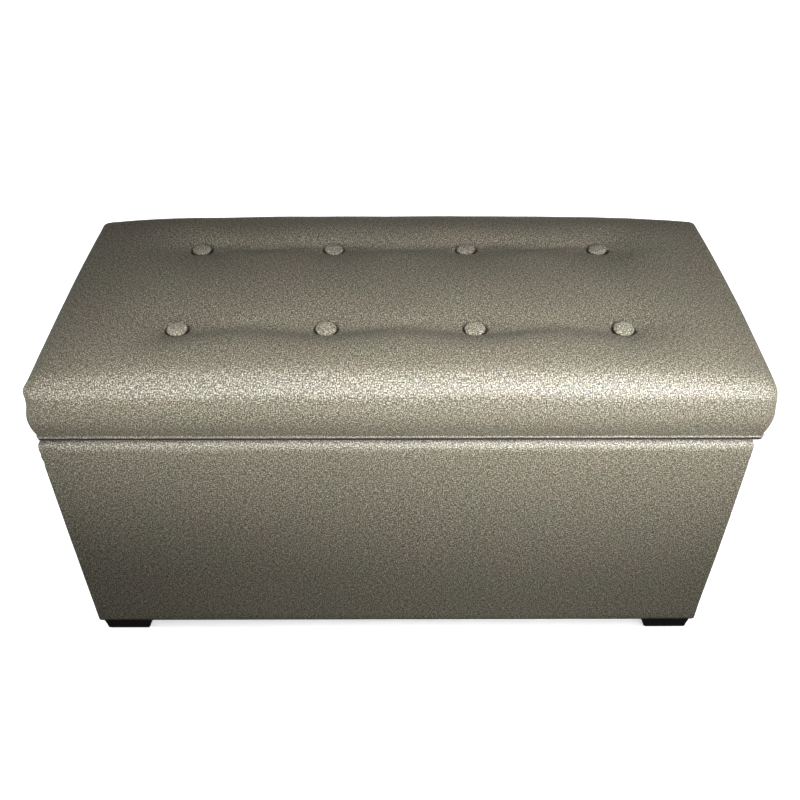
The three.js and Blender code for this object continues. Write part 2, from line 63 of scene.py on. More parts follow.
class Nodes:
    """A new material and short ways to add nodes to it."""

    def __init__(self, name):
        self.material = bpy.data.materials.new(name)
        self.material.use_nodes = True
        self.tree = self.material.node_tree
        self.tree.nodes.clear()
        self.output = self.add("ShaderNodeOutputMaterial")
        self.shader = self.add("ShaderNodeBsdfPrincipled")
        self.link(self.shader.outputs[0], self.output.inputs["Surface"])

    def add(self, kind, **settings):
        node = self.tree.nodes.new(kind)
        for key, value in settings.items():
            setattr(node, key, value)
        return node

    def link(self, source, target):
        self.tree.links.new(source, target)

    def feed(self, node, **values):
        """Sets sockets by name: a socket is linked, and anything else is the default value."""
        for key, value in values.items():
            socket = node.inputs[key.replace("_", " ")]
            if isinstance(value, bpy.types.NodeSocket):
                self.link(value, socket)
            else:
                socket.default_value = value
        return node

    def set(self, **values):
        self.feed(self.shader, **values)

    def coordinates(self, scale, uv=None):
        """Object coordinates, or a named UV map, scaled."""
        if uv:
            place = self.add("ShaderNodeUVMap", uv_map=uv).outputs[0]
        else:
            place = self.add("ShaderNodeTexCoord").outputs["Object"]
        mapping = self.add("ShaderNodeMapping")
        self.feed(mapping, Vector=place, Scale=scale)
        return mapping.outputs[0]

    def noise(self, vector, scale=1.0, detail=2.0, roughness=0.5, distortion=0.0):
        node = self.add("ShaderNodeTexNoise")
        self.feed(
            node, Vector=vector, Scale=scale, Detail=detail, Roughness=roughness, Distortion=distortion
        )
        return node.outputs[0]

    def wave(self, vector, direction, scale=1.0, distortion=0.0):
        node = self.add("ShaderNodeTexWave", bands_direction=direction)
        self.feed(node, Vector=vector, Scale=scale, Distortion=distortion)
        return node.outputs[1]

    def math(self, operation, a, b=0.5, c=None):
        node = self.add("ShaderNodeMath", operation=operation)
        for socket, value in zip(node.inputs, (a, b, c)):
            if value is None:
                continue
            if isinstance(value, bpy.types.NodeSocket):
                self.link(value, socket)
            else:
                socket.default_value = value
        return node.outputs[0]

    def ramp(self, value, *stops):
        """Colour ramp through (position, colour) stops."""
        node = self.add("ShaderNodeValToRGB")
        ramp = node.color_ramp
        while len(ramp.elements) < len(stops):
            ramp.elements.new(0.5)
        for element, (position, colour) in zip(ramp.elements, stops):
            element.position = position
            element.color = (*colour, 1) if len(colour) == 3 else (colour[0],) * 3 + (1,)
        self.link(value, node.inputs[0])
        return node.outputs[0]

    def mix(self, a, b, factor, blend="MIX"):
        node = self.add("ShaderNodeMix", data_type="RGBA", blend_type=blend)
        for index, value in ((0, factor), (6, a), (7, b)):
            if isinstance(value, bpy.types.NodeSocket):
                self.link(value, node.inputs[index])
            else:
                node.inputs[index].default_value = value if index == 0 else (*value, 1)
        return node.outputs[2]

    def bump(self, height, distance, strength=1.0, normal=None):
        node = self.add("ShaderNodeBump")
        self.feed(node, Height=height, Distance=distance, Strength=strength)
        if normal:
            self.link(normal, node.inputs["Normal"])
        self.link(node.outputs[0], self.shader.inputs["Normal"])
        return node.outputs[0]


# ---- materials

YARN = 1.15 * MM  # pitch of the upholstery cloth's yarns
UV = "cloth"


def upholstery_fabric(name, gain):
    """Marled grey-beige cloth: light and dark yarns in a close plain weave, with a soft sheen, and painted
    shade where its crease attribute is set.
    """
    m = Nodes(name)
    uv = m.coordinates((1 / YARN, 1 / YARN, 1), UV)
    warp = m.noise(m.coordinates((1.0 / YARN, 0.22 / YARN, 1), UV), 1, 0, 0.5)
    weft = m.noise(m.coordinates((0.22 / YARN, 1.0 / YARN, 1), UV), 1, 0, 0.5)
    checker = m.add("ShaderNodeTexChecker")
    m.feed(checker, Vector=uv, Scale=1.0, Color1=(0, 0, 0, 1), Color2=(1, 1, 1, 1))
    over = checker.outputs[1]
    yarn = m.math("ADD", m.math("MULTIPLY", warp, m.math("SUBTRACT", 1.0, over)),
                  m.math("MULTIPLY", weft, over))
    speck = m.noise(uv, 0.74, 0, 0.5)
    mixed = m.math("ADD", m.math("MULTIPLY", yarn, 0.45), m.math("MULTIPLY", speck, 0.55))
    shades = ((0.35, (0.038, 0.033, 0.022)), (0.46, (0.141, 0.124, 0.086)),
              (0.54, (0.312, 0.283, 0.212)), (0.65, (0.748, 0.704, 0.574)))
    colour = m.ramp(mixed, *((at, tuple(min(0.9, gain * c) for c in shade)) for at, shade in shades))
    patches = m.noise(m.coordinates((14, 14, 14)), 1, 2, 0.5)
    tint = m.ramp(patches, (0.35, (0.97, 1.0, 0.97)), (0.65, (1.03, 0.99, 0.99)))
    # Painted shade: the crease attribute mixes the colour towards near-black (0.010, 0.009, 0.007) where
    # creases, grooves and edges would lie in shade.
    crease = m.math("MULTIPLY", m.add("ShaderNodeAttribute", attribute_name="crease").outputs["Fac"], 0.86)
    m.set(Base_Color=m.mix(m.mix(colour, tint, 1.0, "MULTIPLY"), (0.010, 0.009, 0.007), crease))
    m.set(Roughness=0.46, Specular_IOR_Level=1.0, Sheen_Weight=0.05, Sheen_Roughness=0.5)
    ridges = m.math("MULTIPLY", m.wave(uv, "X", 0.5), m.wave(uv, "Y", 0.5))
    m.bump(m.math("ADD", ridges, m.math("MULTIPLY", mixed, 0.8)), 0.00012, 0.5)
    return m.material


def thin_cloth(name, dark, light, pitch, grain=0.4):
    """Spun, non-woven cloth: fine fibres and a dimpled bonding pattern."""
    m = Nodes(name)
    fibres = m.noise(m.coordinates((1 / (3 * pitch), 1 / pitch, 1 / pitch)), 1, 3, 0.6)
    dots = m.add("ShaderNodeTexVoronoi", feature="SMOOTH_F1")
    m.feed(dots, Vector=m.coordinates((1 / (2.2 * pitch),) * 3), Scale=1.0)
    value = m.math("ADD", m.math("MULTIPLY", fibres, 1 - grain), m.math("MULTIPLY", dots.outputs[0], grain))
    m.set(Base_Color=m.ramp(value, (0.3, dark), (0.7, light)), Roughness=0.85, Specular_IOR_Level=0.3)
    m.set(Sheen_Weight=0.2)
    m.bump(value, 0.0002, 0.6)
    return m.material


def painted_wood():
    """Espresso lacquer over close-grained wood, rubbed a little thinner in the grain."""
    m = Nodes("foot_wood")
    grain = m.noise(m.coordinates((240, 240, 18)), 1, 4, 0.6, 0.4)
    wear = m.noise(m.coordinates((30, 30, 30)), 1, 3, 0.6)
    m.set(Base_Color=m.ramp(grain, (0.3, (0.006, 0.0045, 0.0035)), (0.7, (0.020, 0.014, 0.010))))
    m.link(m.math("MULTIPLY_ADD", wear, 0.25, 0.28), m.shader.inputs["Roughness"])
    m.set(Specular_IOR_Level=0.5, Coat_Weight=0.15, Coat_Roughness=0.25)
    m.bump(grain, 0.00012, 0.5)
    return m.material


def bare_wood(name, dark, light, stretch):
    """Unfinished wood or plywood face: long grain with darker early wood."""
    m = Nodes(name)
    rings = m.noise(m.coordinates(stretch), 1, 4, 0.55, 1.2)
    pores = m.noise(m.coordinates(tuple(6 * s for s in stretch)), 1, 3, 0.6)
    value = m.math("ADD", m.math("MULTIPLY", rings, 0.7), m.math("MULTIPLY", pores, 0.3))
    m.set(Base_Color=m.ramp(value, (0.32, dark), (0.66, light)), Roughness=0.65)
    m.bump(pores, 0.0002, 0.4)
    return m.material


def metal(name, colour, roughness, coated):
    """Plated or enamelled sheet steel with faint brushing and handling marks."""
    m = Nodes(name)
    brushed = m.noise(m.coordinates((60, 900, 900)), 1, 2, 0.5)
    marks = m.noise(m.coordinates((70, 70, 70)), 1, 4, 0.6)
    light = tuple(min(1, c * 1.25 + 0.01) for c in colour)
    dark = tuple(c * 0.8 for c in colour)
    m.set(Base_Color=m.ramp(marks, (0.35, dark), (0.7, light)), Metallic=0.0 if coated else 1.0)
    m.link(m.math("MULTIPLY_ADD", marks, 0.3, roughness - 0.1), m.shader.inputs["Roughness"])
    m.bump(brushed, 0.00005, 0.3)
    return m.material


def foam():
    m = Nodes("foam")
    cells = m.noise(m.coordinates((600, 600, 600)), 1, 3, 0.7)
    m.set(Base_Color=m.ramp(cells, (0.3, (0.55, 0.48, 0.28)), (0.7, (0.80, 0.73, 0.50))), Roughness=0.9)
    m.bump(cells, 0.0006, 0.8)
    return m.material


def twine():
    m = Nodes("twine")
    twist = m.wave(m.coordinates((700, 700, 700)), "DIAGONAL", 1.0, 1.5)
    m.set(Base_Color=m.ramp(twist, (0.2, (0.34, 0.29, 0.20)), (0.8, (0.66, 0.60, 0.48))), Roughness=0.8)
    m.bump(twist, 0.0003, 0.8)
    return m.material


def pale_floor():
    """White studio floor; it glows a little, so its shadows stay faint. Clear from below."""
    m = Nodes("studio_floor")
    m.set(Base_Color=(0.86, 0.86, 0.86, 1), Roughness=0.8, Specular_IOR_Level=0.1)
    away = m.add("ShaderNodeVectorMath", operation="LENGTH")
    m.link(m.add("ShaderNodeTexCoord").outputs["Object"], away.inputs[0])
    glow = m.add("ShaderNodeMapRange", interpolation_type="SMOOTHSTEP")
    m.feed(glow, Value=away.outputs["Value"], From_Min=1.2, From_Max=5.0, To_Min=0.62, To_Max=1.1)
    m.set(Emission_Color=(1, 1, 1, 1), Emission_Strength=glow.outputs[0])
    clear, mix = m.add("ShaderNodeBsdfTransparent"), m.add("ShaderNodeMixShader")
    m.link(m.add("ShaderNodeNewGeometry").outputs["Backfacing"], mix.inputs[0])
    m.link(m.shader.outputs[0], mix.inputs[1])
    m.link(clear.outputs[0], mix.inputs[2])
    m.link(mix.outputs[0], m.output.inputs["Surface"])
    return m.material


MATERIALS = {
    "upholstery_fabric": upholstery_fabric("upholstery_fabric", 1.0),
    "button_cloth_painted_light": upholstery_fabric("button_cloth_painted_light", 1.35),  # the same cloth, pulled tight; this paler copy is painted light, for the light the caps catch
    "lining_cloth": thin_cloth("lining_cloth", (0.016, 0.016, 0.016), (0.062, 0.060, 0.057), 0.7 * MM),
    "dust_cover_cloth": thin_cloth(
        "dust_cover_cloth", (0.006, 0.006, 0.006), (0.028, 0.028, 0.028), 0.9 * MM, 0.6
    ),
    "foot_wood": painted_wood(),
    "plywood": bare_wood("plywood", (0.38, 0.24, 0.12), (0.64, 0.46, 0.27), (4, 60, 60)),
    "pine": bare_wood("pine", (0.42, 0.27, 0.13), (0.72, 0.54, 0.32), (6, 70, 50)),
    "steel": metal("steel", (0.55, 0.55, 0.56), 0.32, False),
    "black_steel": metal("black_steel", (0.022, 0.022, 0.024), 0.42, True),
    "foam": foam(),
    "twine": twine(),
}

# ---- mesh helpers


def new_piece(name, verts, faces, slot, body, uvs=None, smooth=True):
    """A mesh piece riding on a body. uvs has one (u, v) for each corner of each face, in order."""
    data = bpy.data.meshes.new(name)
    data.from_pydata([tuple(v) for v in verts], [], faces)
    if uvs is not None:
        layer = data.uv_layers.new(name=UV)
        layer.data.foreach_set("uv", np.asarray(uvs, np.float32).ravel())
    data.update()
    piece = bpy.data.objects.new(name, data)
    bpy.context.scene.collection.objects.link(piece)
    data.materials.append(MATERIALS[slot])
    if smooth:
        data.shade_smooth()
    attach(piece, body)
    return piece


def grid_faces(nx, ny, start=0):
    """Faces of a grid of nx by ny vertices numbered from `start`, the second index changing fastest."""
    at = lambda i, j: start + i * ny + j
    return [(at(i, j), at(i + 1, j), at(i + 1, j + 1), at(i, j + 1))
            for i in range(nx - 1) for j in range(ny - 1)]


def grid_border(nx, ny):
    """(i, j) round the border of such a grid, anticlockwise seen from above."""
    loop = [(i, 0) for i in range(nx - 1)] + [(nx - 1, j) for j in range(ny - 1)]
    return loop + [(i, ny - 1) for i in range(nx - 1, 0, -1)] + [(0, j) for j in range(ny - 1, 0, -1)]


def tube_faces(rings, n):
    """Faces between closed rings of n vertices each, one ring after the other."""
    return [(r * n + k, r * n + (k + 1) % n, (r + 1) * n + (k + 1) % n, (r + 1) * n + k)
            for r in range(rings - 1) for k in range(n)]


def shade_creases(piece, amount):
    """Marks, vertex by vertex, how much painted shade the cloth gets (0 to 1): the upholstery cloth darkens
    towards near-black where creases, grooves and edges would lie in shade.
    """
    layer = piece.data.attributes.new("crease", "FLOAT", "POINT")
    layer.data.foreach_set("value", np.asarray(amount, dtype=np.float32))


def modifier(piece, kind, **settings):
    made = piece.modifiers.new(kind.lower(), kind)
    for key, value in settings.items():
        setattr(made, key, value)
    return made


def smoothstep(edge0, edge1, x):
    t = np.clip((x - edge0) / (edge1 - edge0), 0, 1)
    return t * t * (3 - 2 * t)


def bell(x, width):
    return np.exp(-((x / width) ** 2))


def ripple(points, size, seed):
    """Smooth noise from about -1 to 1 at each point, with bumps about `size` across."""
    shift = Vector((13.7 * seed, 5.1 * seed, 9.3 * seed))
    return np.array([noise.noise(Vector(p) / size + shift) for p in points]) * 1.6


def edge_stations(half, radius, step):
    """Places of grid lines from -half to half, equal in angle round the rounded edges."""
    turn = max(4, int(round(radius * math.pi / 2 / (0.6 * step))))
    inset = [radius * (1 - math.cos(k / turn * math.pi / 2)) for k in range(turn)]
    middle = spaced(-half + radius, half - radius, step)
    return np.array([d - half for d in inset] + list(middle) + [half - d for d in reversed(inset)])


def spaced(start, end, step):
    return np.linspace(start, end, max(2, int(round(abs(end - start) / step)) + 1))


# ---- lid upholstery

LID_LOW, LID_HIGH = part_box("lid_cover")
LID_SHIFT = 5 * MM  # the cover and its buttons sit a little to the right of the middle
LID_X = (LID_HIGH.x - LID_LOW.x) / 2
LID_Y = (LID_HIGH.y - LID_LOW.y) / 2
LID_CY = (LID_HIGH.y + LID_LOW.y) / 2
LID_CROWN = 18 * MM
LID_EDGE_Z = LID_HIGH.z - 16 * MM
LID_R = 21 * MM  # how far in the top edge's rounding reaches at the ends
LID_FRONT_R = 32 * MM  # the same at the front
LID_CORNER_R = 9 * MM
RIGHT_SWELL, LEFT_SWELL = 5.6 * MM, 3.0 * MM  # how far the foam pushes the ends out
REAR_LIFT = 1.8 * MM  # the seat's rear edge is fuller than its front edge
SIDE_TOP = LID_EDGE_Z - 24 * MM
SIDE_BULGE = 1.8 * MM  # how far the side swells out above the hem
HEM_DRAW = 4.6 * MM  # how far the hem is drawn in all round
HEM_R = 1.5 * MM
HEM_Z = LID_LOW.z + 0.4 * MM  # the lowest point of the hem's lip
FRONT_TUCK = 5.8 * MM  # how much further the front's hem is drawn in than the ends'

BUTTONS = [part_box(f"button_{i}") for i in range(1, 9)]
BUTTON_PLACES = [((lo.x + hi.x) / 2 + LID_SHIFT, (lo.y + hi.y) / 2) for lo, hi in BUTTONS]
BUTTON_R = (BUTTONS[0][1].x - BUTTONS[0][0].x) / 2
BUTTON_ROWS = sorted({round(y, 4) for _, y in BUTTON_PLACES})
BUTTON_TOP = BUTTONS[0][1].z + 1.5 * MM
TUFT_Z = BUTTON_TOP - 9.5 * MM  # the bottom of the groove round a button


def grid_lines(half, radius, centres, coarse=10 * MM, fine=2.3 * MM):
    """Places of grid lines from -half to half: close round the edges and within each (centre, reach)."""
    turn = 7
    inset = [radius * (1 - math.cos(k / turn * math.pi / 2)) for k in range(turn)]
    at = np.linspace(radius - half, half - radius, 4001)
    near = np.min([np.abs(at - c) / reach for c, reach in centres] + [np.full(len(at), 9.0)], axis=0)
    step = fine + (coarse - fine) * smoothstep(1, 2.2, near)
    count = np.concatenate([[0], np.cumsum(2 * np.diff(at) / (step[1:] + step[:-1]))])
    middle = np.interp(np.linspace(0, count[-1], int(round(count[-1])) + 1), count, at)
    return np.array([d - half for d in inset] + list(middle) + [half - d for d in reversed(inset)])


def cloth_lengths(places, half, radius):
    """How far along the cloth each place lies, where the cloth goes round a rounded edge."""
    over = np.clip(np.abs(places) - (half - radius), 0, radius)
    round_edge = radius * np.arcsin(np.clip(over / radius, 0, 1))
    return np.sign(places) * (np.abs(places) - over + round_edge)


def rounded_corner(x, y, half_x, half_y, radius):
    """Moves points of a square-cornered rectangle to one with rounded corners."""
    a = np.clip((np.abs(x) - (half_x - radius)) / radius, 0, 1)
    b = np.clip((np.abs(y) - (half_y - radius)) / radius, 0, 1)
    pull_x = radius * (a - a * np.sqrt(1 - b * b / 2))
    pull_y = radius * (b - b * np.sqrt(1 - a * a / 2))
    return x - np.sign(x) * pull_x, y - np.sign(y) * pull_y


def seat_z(x, y):
    """Height of the untufted seat at (x, y), measured from the lid's own centre."""
    round_x = np.clip((np.abs(x) - (LID_X - LID_R)) / LID_R, 0, 1)
    radius = np.where(y < 0, LID_FRONT_R, LID_R)
    round_y = np.clip((np.abs(y) - (LID_Y - radius)) / radius, 0, 1)
    rise = np.sqrt(np.maximum(0, 1 - (round_x**6 + round_y**6) ** (1 / 3)))
    across = 1 - np.abs(x / LID_X) ** 4
    along = 1 - 0.42 * np.abs(y / LID_Y) ** 3
    fuller = REAR_LIFT * smoothstep(0, LID_Y - LID_R, y)
    return SIDE_TOP + (LID_EDGE_Z - SIDE_TOP + LID_CROWN * across * along + fuller) * rise


def tufts(x, y):
    """(share, distance) of the pull of the buttons at (x, y) in the bench's frame."""
    share, nearest = np.zeros_like(x), np.full_like(x, 1.0)
    for bx, by in BUTTON_PLACES:
        dx, dy = x - bx, y - by
        near = np.hypot(dx, dy)
        nearest = np.minimum(nearest, near)
        wide = np.hypot(dx / 1.5, dy)
        pull = 0.66 * np.exp(-((wide / (31 * MM)) ** 1.25)) + 0.34
        pull = pull - 0.34 * smoothstep(BUTTON_R + 0.3 * MM, BUTTON_R + 2.8 * MM, near)
        share = np.maximum(share, pull)
    for row in BUTTON_ROWS:  # a shallow valley runs along each row
        inside = 1 - smoothstep(LID_X - 130 * MM, LID_X - 50 * MM, np.abs(x - LID_SHIFT))
        valley = 0.2 * bell(y - row, 22 * MM) * inside
        share = 1 - (1 - share) * (1 - valley)
    return share, nearest


def lid_side_profile():
    """(outward, z) down the side from the rounded top edge, over the hem and in underneath."""
    points = []
    for z in spaced(SIDE_TOP, HEM_Z + 5.6 * MM, 6 * MM)[1:]:
        t = (SIDE_TOP - z) / (SIDE_TOP - HEM_Z)
        points.append((SIDE_BULGE * math.sin(math.pi * min(1, t * 1.2)) - HEM_DRAW * t**3, z))
    inset, z = points[-1][0] + 0.2 * MM, HEM_Z + 2.9 * MM
    for angle in (70, 50, 30, 10, -15, -45, -90):  # the folded edge rolls out into a thin lip
        a = math.radians(angle)
        points.append((inset + HEM_R * math.cos(a), z + HEM_R * math.sin(a)))
    points.append((inset - 0.3 * MM, LID_LOW.z - 1.0 * MM))
    for inward, rise in ((7, 1.5), (9, 1.7), *((d, 1.9) for d in (13, 19, 27, 35, 43, 50))):
        points.append((-inward * MM, LID_LOW.z + (rise - 1.8) * MM))
    points.append((-52 * MM, LID_LOW.z + 1.2 * MM))
    return points


def tuck_front(verts):
    """Draws the front's lower edge in, so that its hem ends flush with the base."""
    depth = np.clip((SIDE_TOP - verts[:, 2]) / (SIDE_TOP - HEM_Z), 0, 1) ** 2.6
    front = 1 - smoothstep(-LID_Y, 90 * MM - LID_Y, verts[:, 1] - LID_CY)
    verts[:, 1] += FRONT_TUCK * depth * front


HINGES = {side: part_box(f"hinge_{side}_base_leaf") for side in SIDES}
LEAF_TOP = HINGES["left"][0].z + 1.5 * MM  # the base leaf's flat part lies on the rear board
LEAF_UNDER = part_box("hinge_left_lid_leaf")[1].z  # the lid leaf's flat part lies under the lid board


def at_hinges(x, y):
    """1 where a hinge leaf presses on the cloth, 0 away from it."""
    share = np.zeros_like(x)
    for lo, hi in HINGES.values():
        centre, half = (lo.x + hi.x) / 2, (hi.x - lo.x) / 2
        across = 1 - smoothstep(half + 1 * MM, half + 8 * MM, np.abs(x - centre))
        share = np.maximum(share, across * smoothstep(lo.y - 8 * MM, lo.y - 1 * MM, y))
    return share


CLOTH_PRESSURE = 1.6  # the push of the foam
CLOTH_STIFFNESS = 25.0
SETTLE_FRAMES = 14


def settle(piece, rest, pinned, cap):
    """Lets the cloth find its shape: filled from inside, held where pinned, moved at most `cap`."""
    data = piece.data
    start = np.empty(len(data.vertices) * 3)
    data.vertices.foreach_get("co", start)
    group = piece.vertex_groups.new(name="pinned")
    for index in np.nonzero(pinned > 0)[0]:
        group.add([int(index)], float(pinned[index]), "REPLACE")
    piece.shape_key_add(name="start")
    slack = piece.shape_key_add(name="slack")
    slack.data.foreach_set("co", rest.ravel())
    cloth = modifier(piece, "CLOTH")
    settings = cloth.settings
    settings.vertex_group_mass = group.name
    settings.rest_shape_key = slack
    settings.quality = 4
    settings.mass = 0.3
    settings.tension_stiffness = settings.compression_stiffness = CLOTH_STIFFNESS
    settings.shear_stiffness = CLOTH_STIFFNESS / 3
    settings.bending_stiffness = 0.8
    settings.use_pressure = True
    settings.uniform_pressure_force = CLOTH_PRESSURE
    settings.effector_weights.gravity = 0
    cloth.collision_settings.use_collision = False
    cloth.collision_settings.use_self_collision = False
    cloth.point_cache.frame_start, cloth.point_cache.frame_end = 1, SETTLE_FRAMES
    scene = bpy.context.scene
    for number in range(1, SETTLE_FRAMES + 1):
        scene.frame_set(number)
    made = piece.evaluated_get(bpy.context.evaluated_depsgraph_get())
    result = np.empty_like(start)
    made.data.vertices.foreach_get("co", result)
    piece.modifiers.remove(cloth)
    piece.shape_key_clear()
    piece.vertex_groups.remove(group)
    scene.frame_set(1)
    start, result = start.reshape(-1, 3), result.reshape(-1, 3)
    move = result - start
    length = np.linalg.norm(move, axis=1, keepdims=True)
    move *= np.minimum(1, cap / np.maximum(length, 1e-9))
    return start + move


LID_CORNERS = {  # mm: the pulled-out point, the waist under it and the tuck at the hem
    "front_left": (12.5, 5.0, -1.6),
    "front_right": (-5.0, 2.4, -1.0),
    "rear_left": (2.5, 1.5, 0.5),
    "rear_right": (2.0, 1.0, 0.5),
}


def lid_corner_shape(verts):
    """Moves the cloth at the lid's corners in or out, as LID_CORNERS says."""
    moved = verts.copy()
    z = verts[:, 2]
    for name, (sx, sy) in CORNERS.items():
        ear, waist, tuck = LID_CORNERS[name]
        corner_x, corner_y = sx * LID_X + LID_SHIFT, sy * LID_Y + LID_CY
        far = np.hypot(verts[:, 0] - corner_x, verts[:, 1] - corner_y)
        out = ear * MM * bell(far, 13 * MM) * bell(z - SIDE_TOP - 20 * MM, 6.5 * MM)
        out = out - waist * MM * bell(far, 24 * MM) * bell(z - SIDE_TOP + 5 * MM, 14 * MM)
        out = out - tuck * MM * bell(far, 30 * MM) * smoothstep(SIDE_TOP - 25 * MM, LID_LOW.z, z)
        moved[:, 0] += sx * 0.85 * out
        moved[:, 1] += sy * 0.5 * out
    return moved


def lid_upholstery():
    """The lid's cover in one piece: the top, the sides and the wrap stapled underneath."""
    hinge_ends = [(x - LID_SHIFT, 4 * MM) for lo, hi in HINGES.values() for x in (lo.x, hi.x)]
    xs = grid_lines(LID_X, LID_R, [(x - LID_SHIFT, 16 * MM) for x, _ in BUTTON_PLACES] + hinge_ends)
    ys = grid_lines(LID_Y, LID_R, [(y - LID_CY, 16 * MM) for y in BUTTON_ROWS])
    nx, ny = len(xs), len(ys)
    gx, gy = (g.ravel() for g in np.meshgrid(xs, ys, indexing="ij"))
    px, py = rounded_corner(gx, gy, LID_X, LID_Y, LID_CORNER_R)
    verts = np.stack([px + LID_SHIFT, py + LID_CY, seat_z(gx, gy)], axis=1)
    cu, cv = cloth_lengths(xs, LID_X, LID_R), cloth_lengths(ys, LID_Y, LID_R)
    faces = grid_faces(nx, ny)
    uvs = [(cu[v // ny], cv[v % ny]) for face in faces for v in face]

    # The side goes round the border of that grid.
    loop = grid_border(nx, ny)
    side_of = [0] * (nx - 1) + [1] * (ny - 1) + [2] * (nx - 1) + [3] * (ny - 1)
    flat_x = np.array([xs[i] for i, _ in loop])
    flat_y = np.array([ys[j] for _, j in loop])
    cloth_x, cloth_y = np.array([cu[i] for i, _ in loop]), np.array([cv[j] for _, j in loop])
    turn_x = np.clip((np.abs(flat_x) - (LID_X - LID_CORNER_R)) / LID_CORNER_R, 0, 1) * np.sign(flat_x)
    turn_y = np.clip((np.abs(flat_y) - (LID_Y - LID_CORNER_R)) / LID_CORNER_R, 0, 1) * np.sign(flat_y)
    out_x = np.where(np.abs(flat_x) >= LID_X - 1e-6, np.sign(flat_x), turn_x)
    out_y = np.where(np.abs(flat_y) >= LID_Y - 1e-6, np.sign(flat_y), turn_y)
    length = np.hypot(out_x, out_y)
    out_x, out_y = out_x / length, out_y / length
    border_x, border_y = rounded_corner(flat_x, flat_y, LID_X, LID_Y, LID_CORNER_R)
    rings = [np.array([i * ny + j for i, j in loop])]
    count, down, before = len(verts), [0.0], (0.0, SIDE_TOP)
    for outward, height in lid_side_profile():
        down.append(down[-1] + math.hypot(outward - before[0], height - before[1]))
        before = (outward, height)
        if outward < -6 * MM:  # underneath, the wrap keeps its mitred corners
            ring_x, ring_y = border_x * (LID_X + outward) / LID_X, border_y * (LID_Y + outward) / LID_Y
        else:
            ring_x, ring_y = border_x + outward * out_x, border_y + outward * out_y
        ring = np.stack([ring_x + LID_SHIFT, ring_y + LID_CY, np.full(len(loop), height)], axis=1)
        verts = np.concatenate([verts, ring])
        rings.append(np.arange(count, count + len(loop)))
        count += len(loop)
    for row, (upper, lower) in enumerate(zip(rings, rings[1:])):
        for k in range(len(loop)):
            n = (k + 1) % len(loop)
            faces.append((upper[k], lower[k], lower[n], upper[n]))
            end = side_of[k] % 2
            sign = (-1, 1, 1, -1)[side_of[k]]
            edge = (cv[-1], cu[-1])[end]
            s0, s1 = (cloth_y if end else cloth_x)[[k, n]]
            d0, d1 = sign * (edge + down[row]), sign * (edge + down[row + 1])
            corners = [(s0, d0), (s0, d1), (s1, d1), (s1, d0)]
            uvs += [(d, s) if end else (s, d) for s, d in corners]

    tuck_front(verts)
    share, near = tufts(verts[:, 0], verts[:, 1])
    on_top = smoothstep(SIDE_TOP, LID_EDGE_Z, verts[:, 2])
    flat = verts.copy()
    verts[:, 2] -= share * np.maximum(verts[:, 2] - TUFT_Z, 0) * on_top
    slack = flat.copy()
    slack[:, 2] -= 0.75 * (flat[:, 2] - verts[:, 2])
    piece = new_piece("lid_upholstery", verts, faces, "upholstery_fabric", "lid", uvs)
    pinned = ((verts[:, 2] < HEM_Z + 11 * MM) | (near < 12.5 * MM) & (on_top > 0.5)).astype(float)
    inward = np.minimum(LID_X - np.abs(flat[:, 0] - LID_SHIFT), LID_Y - np.abs(flat[:, 1] - LID_CY))
    cap = (0.8 + 3.2 * smoothstep(20 * MM, 75 * MM, inward)) * MM  # the foam holds the edges' shape
    move = settle(piece, slack, pinned, cap[:, None]) - verts
    top = move[: nx * ny].reshape(nx, ny, 3)  # a view of `move`
    for _ in range(4):  # evens out creases where the grid's pitch changes
        top[1:-1] = (top[:-2] + 2 * top[1:-1] + top[2:]) / 4
        top[:, 1:-1] = (top[:, :-2] + 2 * top[:, 1:-1] + top[:, 2:]) / 4
    verts = verts + move * (1 - pinned[:, None])

    # Slight unevenness of hand-pulled cloth.
    soft = ripple(verts, 0.11, 1) * 0.7 * MM + ripple(verts, 0.035, 2) * 0.18 * MM
    soft *= (flat[:, 2] > HEM_Z + 5 * HEM_R) * smoothstep(12 * MM, 30 * MM, near)
    local_x, local_y = flat[:, 0] - LID_SHIFT, flat[:, 1] - LID_CY
    for axis, local, half in ((0, local_x, LID_X), (1, local_y, LID_Y)):
        aside = (1 - on_top) * smoothstep(half - 2 * LID_R, half - LID_R, np.abs(local))
        verts[:, axis] += soft * aside * np.sign(local)
    verts[:, 2] += soft * on_top
    # The foam pushes both ends out in the middle of the depth, the right one more.
    middle = np.cos(np.clip(local_y / LID_Y, -1, 1) * math.pi / 2)
    swell = np.where(local_x > 0, RIGHT_SWELL, LEFT_SWELL) * middle
    swell *= smoothstep(LID_X - 70 * MM, LID_X - 5 * MM, np.abs(local_x))
    verts[:, 0] += np.sign(local_x) * swell * smoothstep(HEM_Z + 8 * MM, SIDE_TOP, verts[:, 2])
    verts = lid_corner_shape(verts)
    pressed = at_hinges(verts[:, 0], verts[:, 1])  # the wrap is squeezed between leaf and board
    low, reach = LID_LOW.z - 0.3 * MM, 10 * MM
    squeezed = LEAF_UNDER + 0.1 * MM + (verts[:, 2] - low) * (1 - (LEAF_UNDER + 0.1 * MM - low) / reach)
    verts[:, 2] += np.where(verts[:, 2] < low + reach, pressed * (squeezed - verts[:, 2]), 0)
    piece.data.vertices.foreach_set("co", verts.ravel())
    piece.data.update()
    # Painted shade: a dark ring in the groove round each button, and a lighter darkening down in each tuft.
    ring = 1 - smoothstep(BUTTON_R + 1.5 * MM, BUTTON_R + 4.2 * MM, near)  # painted shade round each button
    shade_creases(piece, np.maximum(ring * on_top, 0.25 * share * on_top))
    modifier(piece, "SUBSURF", levels=1, render_levels=1, uv_smooth="NONE")
    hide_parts("lid_cover", "lid_foam")
    return piece


# ---- covered buttons


